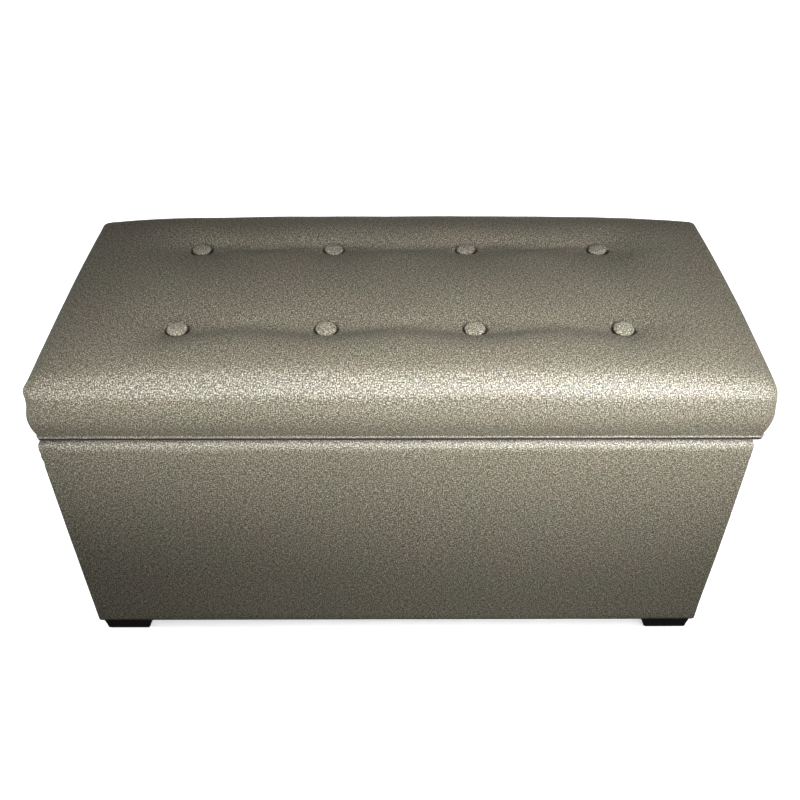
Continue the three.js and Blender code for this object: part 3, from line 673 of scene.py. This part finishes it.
def covered_button(number):
    """A cloth-covered cap, low in the middle and round at its rim, leaning a little to the front."""
    cx, cy = BUTTON_PLACES[number - 1]
    rings, rim, spokes = 12, 9, 40
    lean = [noise.noise(Vector((number * 3.1, k, 0.3))) * 0.14 for k in (0, 1)]
    slope_x, slope_y = lean[0], (0.20 if cy < 0 else 0.10) + 0.5 * lean[1]
    verts, faces, uvs = [(cx, cy, BUTTON_TOP)], [], []
    for r in range(1, rings + 1):
        turn = min(1.0, r / rim) * math.pi / 2
        radius, drop = BUTTON_R * math.sin(turn) ** 0.9, 3.6 * MM * (1 - math.cos(turn)) ** 1.2
        if r > rim:  # under the rim the cloth turns in
            radius, drop = BUTTON_R * (1 - 0.06 * (r - rim) ** 1.6), (3.6 + 1.3 * (r - rim)) * MM
        for k in range(spokes):
            a = k / spokes * 2 * math.pi
            gather = 0.012 * math.cos(9 * a + number) + 0.02 * math.cos(2 * a + 2 * number)
            reach = radius * (1 + gather * (r / rings) ** 2)
            x, y = reach * math.cos(a), reach * math.sin(a)
            verts.append((cx + x, cy + y, BUTTON_TOP - drop + slope_x * x + slope_y * y))
    at = lambda r, k: 0 if r == 0 else 1 + (r - 1) * spokes + k % spokes
    for r in range(rings):
        for k in range(spokes):
            face = [at(r, k), at(r + 1, k), at(r + 1, k + 1), at(r, k + 1)]
            faces.append(tuple(dict.fromkeys(face)))
    for face in faces:
        uvs += [(verts[v][0] * 1.1, verts[v][1] * 1.1) for v in face]
    piece = new_piece(f"covered_button_{number}", verts, faces, "upholstery_fabric", "lid", uvs)
    # Painted light: the caps get a paler copy of the upholstery cloth.
    piece.data.materials[0] = MATERIALS["button_cloth_painted_light"]
    # Painted shade on the cap's outer rings, where it turns down into the groove.
    ring_of = np.array([0] + [r for r in range(1, rings + 1) for _ in range(spokes)])
    shade_creases(piece, smoothstep(6.4, 8.6, ring_of))
    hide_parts(f"button_{number}")
    return piece


def lid_hem_shadow_strip():
    """A dark strip of lining cloth under the lid's hem, round the front and both ends: painted shadow for
    the dark gap between the lid and the base.
    """
    lip = max(out for out, z in lid_side_profile() if z < HEM_Z + 3.5 * MM)  # how far out the hem reaches
    low = LID_LOW.z
    section = [(lip - 0.7 * MM, HEM_Z + 2.2 * MM), (lip - 0.8 * MM, low - 0.8 * MM),
               (lip - 1.2 * MM, low - 1.4 * MM), (lip - 3 * MM, low - 1.4 * MM), (-9 * MM, low - 0.7 * MM)]
    r, step = LID_CORNER_R, 12 * MM
    inner_x, inner_y = LID_X - r, LID_Y - r

    def arc(centre_x, start):
        angles = [start + k / 7 * math.pi / 2 for k in range(1, 7)]
        return [(centre_x + r * math.cos(a), r * math.sin(a) - inner_y, math.cos(a), math.sin(a))
                for a in angles]

    # (x, y, outward x, outward y), from the rear left corner round the front
    path = [(-LID_X, y, -1.0, 0.0) for y in spaced(LID_Y - 4 * MM, -inner_y, step)]
    path += arc(-inner_x, math.pi)
    path += [(x, -LID_Y, 0.0, -1.0) for x in spaced(-inner_x, inner_x, step)]
    path += arc(inner_x, 1.5 * math.pi)
    path += [(LID_X, y, 1.0, 0.0) for y in spaced(-inner_y, LID_Y - 4 * MM, step)]
    verts = [(x + LID_SHIFT + o * ox, y + LID_CY + o * oy, z) for x, y, ox, oy in path for o, z in section]
    verts = np.array(verts)
    tuck_front(verts)
    verts = lid_corner_shape(verts)
    piece = new_piece("lid_hem_shadow_strip", verts, grid_faces(len(path), len(section)), "lining_cloth", "lid")
    modifier(piece, "SOLIDIFY", thickness=0.3 * MM, offset=0)
    return piece


# ---- base upholstery

BASE_LOW_Z, BASE_HIGH_Z = (corner.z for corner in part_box("base_cover_front"))
BASE_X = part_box("base_cover_right")[1].x + 1.2 * MM  # wadding makes the ends a little fuller
BASE_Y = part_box("base_cover_rear")[1].y
BOARD_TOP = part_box("front_board")[1].z
WALL = 22.2 * MM  # from the outside of the base to the cloth's inner face
RIM_R = 19 * MM
RIM_SQUARE = 0.45  # the rim's rounding at the ends and the rear, as a share of that at the front
FRONT_SWELL = 2.6 * MM  # wadding makes the front's upper part stand out
BASE_CORNER_R = 4 * MM


def base_profile():
    """(inward, z) from the hem stapled under the base, up the outside, over the rim and inside."""
    bottom, top = BASE_LOW_Z, BASE_HIGH_Z
    points = [(31 * MM, bottom + 0.9 * MM), (30 * MM, bottom + 0.1 * MM)]
    points += [(d * MM, bottom) for d in (22, 13, 6)]
    points += [(2.6 * MM, bottom + 0.1 * MM), (1.1 * MM, bottom + 0.8 * MM), (0.2 * MM, bottom + 2.4 * MM)]
    points += [(0.0, z) for z in spaced(bottom + 5 * MM, top - 90 * MM, 9 * MM)]
    points += [(0.0, z) for z in spaced(top - 90 * MM, top - RIM_R, 4.5 * MM)[1:]]
    for step in range(1, 8):
        a = step / 8 * math.pi / 2
        points.append((RIM_R * (1 - math.cos(a)), top - RIM_R * (1 - math.sin(a))))
    inner = WALL - 2.6 * MM
    points += [(RIM_R, top), (inner, top - 0.15 * MM)]
    for step in (1, 2, 3):
        a = step / 3 * math.pi / 2
        points.append((inner + 2.6 * MM * math.sin(a), top - 2.6 * MM * (1 - math.cos(a)) - 0.15 * MM))
    points += [(WALL, z) for z in spaced(top - 7 * MM, BOARD_TOP - 27 * MM, 5 * MM)]
    points.append((WALL - 0.8 * MM, BOARD_TOP - 28 * MM))
    return points


def base_loop():
    """Points round the base, anticlockwise from above, as (x, y, side)."""
    loop = []
    ends = [(x, 8 * MM) for lo, hi in HINGES.values() for x in (lo.x, hi.x)]
    ends += [(sign * BASE_X, 50 * MM) for sign in (-1, 1)]
    along_x = grid_lines(BASE_X, BASE_CORNER_R, ends, 8 * MM, 3 * MM)
    along_y = grid_lines(BASE_Y, BASE_CORNER_R, [], 8 * MM)
    for side in range(4):
        stations = along_x if side % 2 == 0 else along_y
        for s in stations[:-1]:
            loop.append(((s, -BASE_Y, 0), (BASE_X, s, 1), (-s, BASE_Y, 2), (-BASE_X, -s, 3))[side])
    return loop


def base_upholstery():
    """The base's cover, all round: from under the box up the outside, over the rim and inside."""
    loop = base_loop()
    n = len(loop)
    flat_x, flat_y = np.array([p[0] for p in loop]), np.array([p[1] for p in loop])
    profile = base_profile()
    verts, down = [], [0.0]
    for k, (inward, z) in enumerate(profile):
        at_rim = z > BASE_HIGH_Z - RIM_R and inward <= RIM_R
        hx = BASE_X - inward * (RIM_SQUARE if at_rim else 1)
        hy = BASE_Y - inward * np.where(at_rim & (flat_y > 0), RIM_SQUARE, 1.0)
        radius = max(BASE_CORNER_R - inward, 0.6 * MM)
        x, y = flat_x * hx / BASE_X, flat_y * hy / BASE_Y
        x, y = rounded_corner(x, y, hx, hy, radius)
        verts.append(np.stack([x, y, np.full(n, z)], axis=1))
        if k:
            down.append(down[-1] + math.hypot(inward - profile[k - 1][0], z - profile[k - 1][1]))
    faces, uvs = tube_faces(len(profile), n), []
    for d0, d1 in zip(down, down[1:]):
        for k, (*place, side) in enumerate(loop):
            s0, s1 = (p[side % 2] + 1.3 * side for p in (place, loop[(k + 1) % n]))
            uvs += [(s0, d0), (s1, d0), (s1, d1), (s0, d1)]
    verts = base_softness(np.concatenate(verts))
    pressed = at_hinges(verts[:, 0], verts[:, 1])  # under the leaf the rim's wadding is squeezed flat
    start, end = BASE_HIGH_Z - 10 * MM, LEAF_TOP - 1.6 * MM
    squeezed = start + (verts[:, 2] - start) * (end - start) / (BASE_HIGH_Z - start)
    verts[:, 2] += np.where(verts[:, 2] > start, pressed * (squeezed - verts[:, 2]), 0)
    piece = new_piece("base_upholstery", verts, faces, "upholstery_fabric", "base", uvs)
    # Painted shade: a dark line along the base's bottom edge.
    shade_creases(piece, 1 - smoothstep(BASE_LOW_Z + 2 * MM, BASE_LOW_Z + 6 * MM, verts[:, 2]))
    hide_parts(*(f"base_cover_{side}" for side in ("front", "right", "rear", "left")))
    return piece


def base_softness(verts):
    """Wadding under the cloth: faint swells on the faces and pull lines from the top corners."""
    x, y, z = verts.T
    soft = ripple(verts, 0.16, 3) * 0.9 * MM + ripple(verts, 0.05, 4) * 0.22 * MM
    on_face = smoothstep(BASE_LOW_Z + 4 * MM, BASE_LOW_Z + 30 * MM, z) * (z < BASE_HIGH_Z - 1 * MM)
    front = np.abs(y) > BASE_Y - 8 * MM
    end = np.abs(x) > BASE_X - 8 * MM
    pull = np.zeros_like(x)
    drop = BASE_HIGH_Z - z
    for name, (sx, sy) in CORNERS.items():
        along = np.where(front, np.abs(x - sx * BASE_X), np.abs(y - sy * BASE_Y))
        near = (np.sign(x) == sx) & (np.sign(y) == sy)
        size = {"front_left": 1.7, "front_right": 0.7}.get(name, 1.0) * MM
        for slope, start, reach in ((0.16, 8, 60), (0.55, 16, 70), (1.5, 26, 45)):
            below = drop - start * MM - slope * along
            crease = bell(below, 4 * MM + 0.12 * along)
            groove = bell(below - 9 * MM, 5 * MM + 0.12 * along)
            pull = pull + near * size * (crease - 0.8 * groove) * np.exp(-along / (reach * MM))
    move = (soft * 0.6 + pull * 0.8) * on_face * np.where(end & front, 0.7, 1)
    moved = verts.copy()
    out = 1 - smoothstep(-BASE_Y, 20 * MM - BASE_Y, y)
    moved[:, 1] -= FRONT_SWELL * out * smoothstep(BASE_LOW_Z + 20 * MM, BASE_LOW_Z + 150 * MM, z)
    moved[:, 0] += np.where(end, np.sign(x) * move, 0)
    moved[:, 1] += np.where(front, np.sign(y) * move, 0)
    return moved


# ---- linings


def storage_lining():
    """The cloth tub inside: walls and floor of thin cloth, a little loose."""
    lo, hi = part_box("storage_lining")
    thick = 1.2 * MM
    hx, hy = hi.x - thick, hi.y - thick
    floor, top = lo.z + thick, hi.z
    step = 12 * MM
    heights = list(spaced(top, floor + 6 * MM, step)) + [floor + 2 * MM]
    xs, ys = spaced(-hx, hx, step), spaced(-hy, hy, step)
    nx, ny = len(xs), len(ys)
    loop = grid_border(nx, ny)
    n = len(loop)
    verts = [(xs[i], ys[j], z) for z in heights for i, j in loop]
    start, last = len(verts), len(verts) - n
    verts += [(x * (1 - 2 * MM / hx), y * (1 - 2 * MM / hy), floor) for x in xs for y in ys]
    edge = [start + i * ny + j for i, j in loop]
    faces = tube_faces(len(heights), n) + grid_faces(nx, ny, start)
    faces += [(last + k, last + (k + 1) % n, edge[(k + 1) % n], edge[k]) for k in range(n)]
    points = np.array(verts)
    loose = np.abs(ripple(points, 0.09, 5)) * 2.0 * MM
    drop = np.clip((top - points[:, 2]) / (30 * MM), 0, 1)
    on_x = (np.abs(points[:, 0]) > hx - 1 * MM) * drop
    on_y = (np.abs(points[:, 1]) > hy - 1 * MM) * drop
    points[:, 0] -= np.sign(points[:, 0]) * loose * on_x * 0.35
    points[:, 1] -= np.sign(points[:, 1]) * loose * on_y * 0.8
    points[:, 2] += np.where(points[:, 2] < floor + 0.5 * MM, loose * 0.5, 0)
    piece = new_piece("storage_lining_cloth", points, faces, "lining_cloth", "base")
    modifier(piece, "SOLIDIFY", thickness=0.8 * MM, offset=0)
    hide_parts("storage_lining")
    return piece


def cloth_panel(name, node, slot, body, sag, seed):
    """A panel of thin cloth tacked on from below: faint swells that hang down and a turned-in hem."""
    lo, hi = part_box(node)
    xs = edge_stations((hi.x - lo.x) / 2, 6 * MM, 12 * MM)
    ys = edge_stations((hi.y - lo.y) / 2, 6 * MM, 12 * MM)
    cx, cy = (lo.x + hi.x) / 2, (lo.y + hi.y) / 2
    gx, gy = (g.ravel() for g in np.meshgrid(xs, ys, indexing="ij"))
    points = np.stack([gx + cx, gy + cy, np.full(len(gx), lo.z)], axis=1)
    inside = np.minimum(xs[-1] - np.abs(gx), ys[-1] - np.abs(gy))
    swell = ripple(points, 0.08, seed) * sag + 0.4 * sag
    hem = 0.5 * MM * (inside < 11 * MM)
    points[:, 2] -= hem + swell * smoothstep(8 * MM, 60 * MM, inside)
    piece = new_piece(name, points, grid_faces(len(xs), len(ys)), slot, body)
    modifier(piece, "SOLIDIFY", thickness=0.6 * MM, offset=0)
    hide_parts(node)
    return piece


# ---- feet


def turned_square(half, radius, spokes=5):
    """Outline of a rounded square, anticlockwise."""
    points, arm = [], half - radius
    for quarter, (sx, sy) in enumerate(((1, 1), (-1, 1), (-1, -1), (1, -1))):
        for k in range(spokes):
            a = (quarter + k / (spokes - 1)) * math.pi / 2
            points.append((sx * arm + radius * math.cos(a), sy * arm + radius * math.sin(a)))
    return points


def block_foot(name):
    """A block that tapers on its inner sides, with eased corners and a chamfer round its foot."""
    lo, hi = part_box(f"foot_{name}")
    sx, sy = CORNERS[name]
    cx, cy = (lo.x + hi.x) / 2, (lo.y + hi.y) / 2
    top, height = (hi.x - lo.x) / 2 - 3 * MM, hi.z - lo.z
    bottom = top - 6 * MM
    at = lambda z: bottom + (top - bottom) * z / height
    lean_x = lambda z: sx * (8.6 - 5.1 * z / height) * MM  # it stands further out than it is fixed
    lean_y = sy * 5 * MM
    levels = [
        (0.1 * MM, at(0) - 2.4 * MM, 1.5 * MM),
        (0.1 * MM, at(0) - 2.0 * MM, 1.8 * MM),
        (2.0 * MM, at(2 * MM) - 0.3 * MM, 2.4 * MM),
        (3.2 * MM, at(3.2 * MM), 2.6 * MM),
        (height * 0.5, at(height * 0.5), 2.8 * MM),
        (height - 1.4 * MM, at(height), 2.8 * MM),
        (height - 0.2 * MM, at(height) - 1.0 * MM, 2.4 * MM),
    ]
    verts = [(cx + lean_x(z) + x, cy + lean_y + y, z)
             for z, half, radius in levels for x, y in turned_square(half, radius)]
    n = len(verts) // len(levels)
    faces = tube_faces(len(levels), n)
    faces += [tuple(reversed(range(n))), tuple(range(len(verts) - n, len(verts)))]
    piece = new_piece(f"block_foot_{name}", verts, faces, "foot_wood", "base", smooth=False)
    modifier(piece, "BEVEL", width=0.6 * MM, segments=2, limit_method="ANGLE", angle_limit=math.radians(20))
    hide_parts(f"foot_{name}")
    return piece


# ---- fasteners


def screw_head(radius):
    """Verts and faces of a domed, cross-recessed head standing on Z = 0."""
    height = 0.28 * radius
    arm, half = 0.55 * radius, 0.15 * radius
    cross = [(arm, -half), (arm, half), (half, half), (half, arm), (-half, arm), (-half, half),
             (-arm, half), (-arm, -half), (-half, -half), (-half, -arm), (half, -arm), (half, -half)]
    rings = []
    for r, z in ((1.0, 0.0), (1.0, 0.25), (0.94, 0.6), (0.78, 0.88)):
        rings.append([(r * radius * x / math.hypot(x, y), r * radius * y / math.hypot(x, y), z * height)
                      for x, y in cross])
    rings.append([(x, y, height) for x, y in cross])
    rings.append([(0.8 * x, 0.8 * y, 0.1 * height) for x, y in cross])
    verts = [point for ring in rings for point in ring]
    n = len(cross)
    ends = [tuple(range(len(verts) - n, len(verts))), tuple(reversed(range(n)))]
    return verts, tube_faces(len(rings), n) + ends


def staple():
    """Verts and faces of a wire staple lying along X on Z = 0, its legs going down."""
    half, wide, thick, leg = 5 * MM, 0.5 * MM, 0.5 * MM, 1.2 * MM
    path = [(-half, -leg), (-half, 0.6 * thick), (-half + 0.5 * MM, thick), (half - 0.5 * MM, thick),
            (half, 0.6 * thick), (half, -leg)]
    inner = [(-half + thick, -leg), (-half + thick, 0), (-half + 2 * thick, 0.1 * thick),
             (half - 2 * thick, 0.1 * thick), (half - thick, 0), (half - thick, -leg)]
    verts = [(x, y, z) for y in (-wide, wide) for x, z in path + inner]
    faces = []
    for k in range(5):
        for a, b in ((0, 12), (18, 6)):
            faces.append((a + k, a + k + 1, b + k + 1, b + k))
        faces += [(k, 6 + k, 7 + k, k + 1), (12 + k, 13 + k, 19 + k, 18 + k)]
    return verts, faces + [(0, 12, 18, 6), (5, 11, 23, 17)]


def fasteners(name, shape, places, outward, body, slot):
    """One piece made of copies of `shape` at (place, angle) on a surface that faces `outward`."""
    verts, faces = shape
    turn = Vector((0, 0, 1)).rotation_difference(Vector(outward)).to_matrix()
    all_verts, all_faces = [], []
    for place, angle in places:
        spin = Matrix.Rotation(angle, 3, "Z")
        start = len(all_verts)
        all_verts += [Vector(place) + turn @ (spin @ Vector(v)) for v in verts]
        all_faces += [tuple(start + i for i in face) for face in faces]
    piece = new_piece(name, all_verts, all_faces, slot, body, smooth=False)
    modifier(piece, "BEVEL", width=0.12 * MM, segments=1, limit_method="ANGLE",
             angle_limit=math.radians(40))
    return piece


HINGE_SCREW_R, STAY_SCREW_R = 3.6 * MM, 2.8 * MM
BRACKET_SHEET = 2 * MM  # from a base bracket's outer face to the face that its screws stand on


def hinge_and_stay_screws():
    hinge_head, stay_head = screw_head(HINGE_SCREW_R), screw_head(STAY_SCREW_R)
    for side, sign in SIDES.items():
        lo, hi = HINGES[side]
        middle, y = (lo.x + hi.x) / 2, lo.y + 7 * MM
        places = [(middle + k * 25 * MM, y + abs(k) * 3 * MM) for k in (-1, 0, 1)]
        on_base = [((x, v, LEAF_TOP), 0.7 * x / MM) for x, v in places]
        on_lid = [((x, v, LEAF_UNDER - 1.5 * MM), 0.9 * x / MM) for x, v in places]
        fasteners(f"hinge_{side}_base_screws", hinge_head, on_base, (0, 0, 1), "base", "steel")
        fasteners(f"hinge_{side}_lid_screws", hinge_head, on_lid, (0, 0, -1), "lid", "steel")
        lo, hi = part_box(f"stay_{side}_base_bracket")
        face = sign * (max(abs(lo.x), abs(hi.x)) - BRACKET_SHEET)
        centre = (lo.y + hi.y) / 2
        places = [((face, centre + d * MM, lo.z + h * MM), 1.1 * h) for d, h in ((-8, 8), (8, 8), (0, 20))]
        fasteners(f"stay_{side}_base_screws", stay_head, places, (-sign, 0, 0), "base", "black_steel")
        lo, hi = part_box(f"stay_{side}_lid_bracket")
        under = hi.z - 1.5 * MM
        inner = sign * (min(abs(lo.x), abs(hi.x)) + 8 * MM)
        places = [((inner, (lo.y + hi.y) / 2 + d * MM, under), d) for d in (-21, 0, 21)]
        fasteners(f"stay_{side}_lid_screws", stay_head, places, (0, 0, -1), "lid", "black_steel")


def staple_row(start, end, pitch, seed):
    """(place, angle) of staples from start to end in the XY plane, none of them quite in line."""
    start, end = Vector(start), Vector(end)
    along = end - start
    count = max(2, int(along.length / pitch))
    angle = math.atan2(along.y, along.x)
    across = Vector((-along.y, along.x, 0)).normalized()
    row = []
    for k in range(count):
        stray = noise.noise(Vector((k * 1.7, seed * 3.3, 0.4)))
        place = start + along * ((k + 0.5) / count) + across * stray * 1.2 * MM
        row.append((place, angle + 0.12 * stray))
    return row


def staples_round(panel, centre_y, body, pitch):
    """Staples seen from below, 6 mm inside the edge of a panel of cloth, all round."""
    lo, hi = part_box(panel)
    half_x, half_y, z = (hi.x - lo.x) / 2 - 6 * MM, (hi.y - lo.y) / 2 - 6 * MM, lo.z - 1.3 * MM
    around = ((-1, -1), (1, -1), (1, 1), (-1, 1))
    corners = [(sx * half_x, centre_y + sy * half_y, z) for sx, sy in around]
    places = []
    for side, (a, b) in enumerate(zip(corners, corners[1:] + corners[:1])):
        row = staple_row(a, b, pitch, side + 1)
        places += [(place, -angle) for place, angle in row]  # turning a staple over mirrors its angle
    fasteners(f"{panel}_staples", staple(), places, (0, 0, -1), body, "steel")


def finish_cad_nodes():
    """Gives every CAD node its material, and eases the edges of its steel parts other than the bolts."""
    for part in frame["record"]["subparts"]:
        node = frame["nodes"][part["node"]]
        node.data.materials.clear()
        node.data.materials.append(MATERIALS[part["material_slot"]])
        if part["material_slot"] in ("steel", "black_steel") and "bolt" not in part["node"]:
            modifier(node, "BEVEL", width=0.25 * MM, segments=2, limit_method="ANGLE",
                     angle_limit=math.radians(50))


# ---- studio

CAMERA_PLACE = (-0.0007, -1.0999, 1.1148)
CAMERA_PITCH, CAMERA_YAW, CAMERA_ROLL = (math.radians(a) for a in (43.28, 0.31, 0.11))


def camera():
    data = bpy.data.cameras.new("camera")
    data.sensor_width = 36
    data.lens = 41.06
    data.shift_y = 0.125
    made = bpy.data.objects.new("camera", data)
    bpy.context.scene.collection.objects.link(made)
    sin, cos = math.sin, math.cos
    level = cos(CAMERA_PITCH)
    forward = Vector((sin(CAMERA_YAW) * level, cos(CAMERA_YAW) * level, -sin(CAMERA_PITCH)))
    right = Vector((cos(CAMERA_YAW), -sin(CAMERA_YAW), 0))
    up = right.cross(forward)
    side = cos(CAMERA_ROLL) * right + sin(CAMERA_ROLL) * up
    head = -sin(CAMERA_ROLL) * right + cos(CAMERA_ROLL) * up
    turn = Matrix((side, head, -forward)).transposed().to_4x4()
    made.matrix_world = Matrix.Translation(CAMERA_PLACE) @ turn
    bpy.context.scene.camera = made


SEAT_EDGE = Vector((0, LID_LOW.y - 18 * MM, LID_EDGE_Z))  # what the front lights aim at


def from_front(elevation, distance, x=0.0):
    """A place in front of the seat's edge, at an angle above the horizontal."""
    a = math.radians(elevation)
    return SEAT_EDGE + Vector((x, -distance * math.cos(a), distance * math.sin(a)))


def soft_box(name, place, target, power, width, height, spread=180, shine=1.0):
    """A rectangular lamp at `place` that faces `target`. `shine` scales its reflections."""
    data = bpy.data.lights.new(name, "AREA")
    data.energy, data.specular_factor, data.spread = power, shine, math.radians(spread)
    data.shape, data.size, data.size_y = "RECTANGLE", width, height
    made = bpy.data.objects.new(name, data)
    bpy.context.scene.collection.objects.link(made)
    made.location = place
    made.rotation_euler = (Vector(target) - Vector(place)).to_track_quat("-Z", "Y").to_euler()
    return made


def studio():
    """The floor, and the lamps: their places and powers are fitted to the photograph's shading."""
    size = 14
    data = bpy.data.meshes.new("studio_floor")
    square = [(-size, -size, 0), (size, -size, 0), (size, size, 0), (-size, size, 0)]
    data.from_pydata(square, [], [(0, 1, 2, 3)])
    data.materials.append(pale_floor())
    floor = bpy.data.objects.new("studio_floor", data)
    bpy.context.scene.collection.objects.link(floor)
    floor.visible_diffuse = False  # the dark lower front shows that little light comes off the floor
    floor.visible_glossy = False
    target = SEAT_EDGE + Vector((0.12, 0, 0))
    for name, elevation, power in (("low", 20, 0.745), ("high", 50, 0.121), ("top", 76, 0.172)):
        soft_box(f"front_{name}", from_front(elevation, 0.9, 0.12), target, power, 1.3, 0.12, 30)
    soft_box("overhead", from_front(70, 1.4), SEAT_EDGE, 1.31, 1.3, 0.3, 70)
    target = SEAT_EDGE + Vector((0.25, 0, 0))
    for name, elevation, power in (("low", 25, 1.08), ("high", 45, 0.32), ("top", 65, 0.25)):
        soft_box(f"right_{name}", from_front(elevation, 1.1, 0.7), target, power, 0.5, 0.25, 60)
    # Low enough to leave the seat alone, these light only the back, the ends and the open lid.
    soft_box("rear", (0.0, 2.2, 0.12), (0, 0.2, 0.3), 8, 2.0, 0.2, shine=0.4)
    for side, sign in SIDES.items():
        soft_box(f"end_{side}", (sign * 2.3, 0.2, 0.2), (sign * 0.4, 0, 0.25), 6, 1.2, 0.25, shine=0.3)
    wash = soft_box("floor_wash", (0, 0, 4), (0, 0, 0), 260, 6, 6)
    only_floor = bpy.data.collections.new("floor_only")
    only_floor.objects.link(floor)
    wash.light_linking.receiver_collection = only_floor
    backdrop()


def backdrop():
    """A white sky for the camera that gives the bench only a trace of light."""
    world = bpy.data.worlds.new("studio")
    world.use_nodes = True
    tree = world.node_tree
    seen = tree.nodes["Background"]
    kinds = ("Background", "MixShader", "LightPath")
    lighting, mix, path = (tree.nodes.new(f"ShaderNode{kind}") for kind in kinds)
    for node, strength in ((seen, 1.0), (lighting, 0.04)):
        node.inputs[0].default_value = (1, 1, 1, 1)
        node.inputs[1].default_value = strength
    tree.links.new(path.outputs["Is Camera Ray"], mix.inputs[0])
    tree.links.new(lighting.outputs[0], mix.inputs[1])
    tree.links.new(seen.outputs[0], mix.inputs[2])
    tree.links.new(mix.outputs[0], tree.nodes["World Output"].inputs["Surface"])
    bpy.context.scene.world = world
    bpy.context.scene.view_settings.view_transform = "Standard"


# ---- the bench

camera()
studio()
finish_cad_nodes()
lid_upholstery()
for button in range(1, 9):
    covered_button(button)
# Painted shadow: a dark strip under the lid's hem.
lid_hem_shadow_strip()
base_upholstery()
storage_lining()
cloth_panel("lid_lining_cloth", "lid_lining", "lining_cloth", "lid", 0.8 * MM, 6)
cloth_panel("dust_cover_cloth", "dust_cover", "dust_cover_cloth", "base", 1.2 * MM, 7)
for corner in CORNERS:
    block_foot(corner)
hinge_and_stay_screws()
staples_round("lid_lining", LID_CY, "lid", 46 * MM)
staples_round("dust_cover", 0.0, "base", 52 * MM)
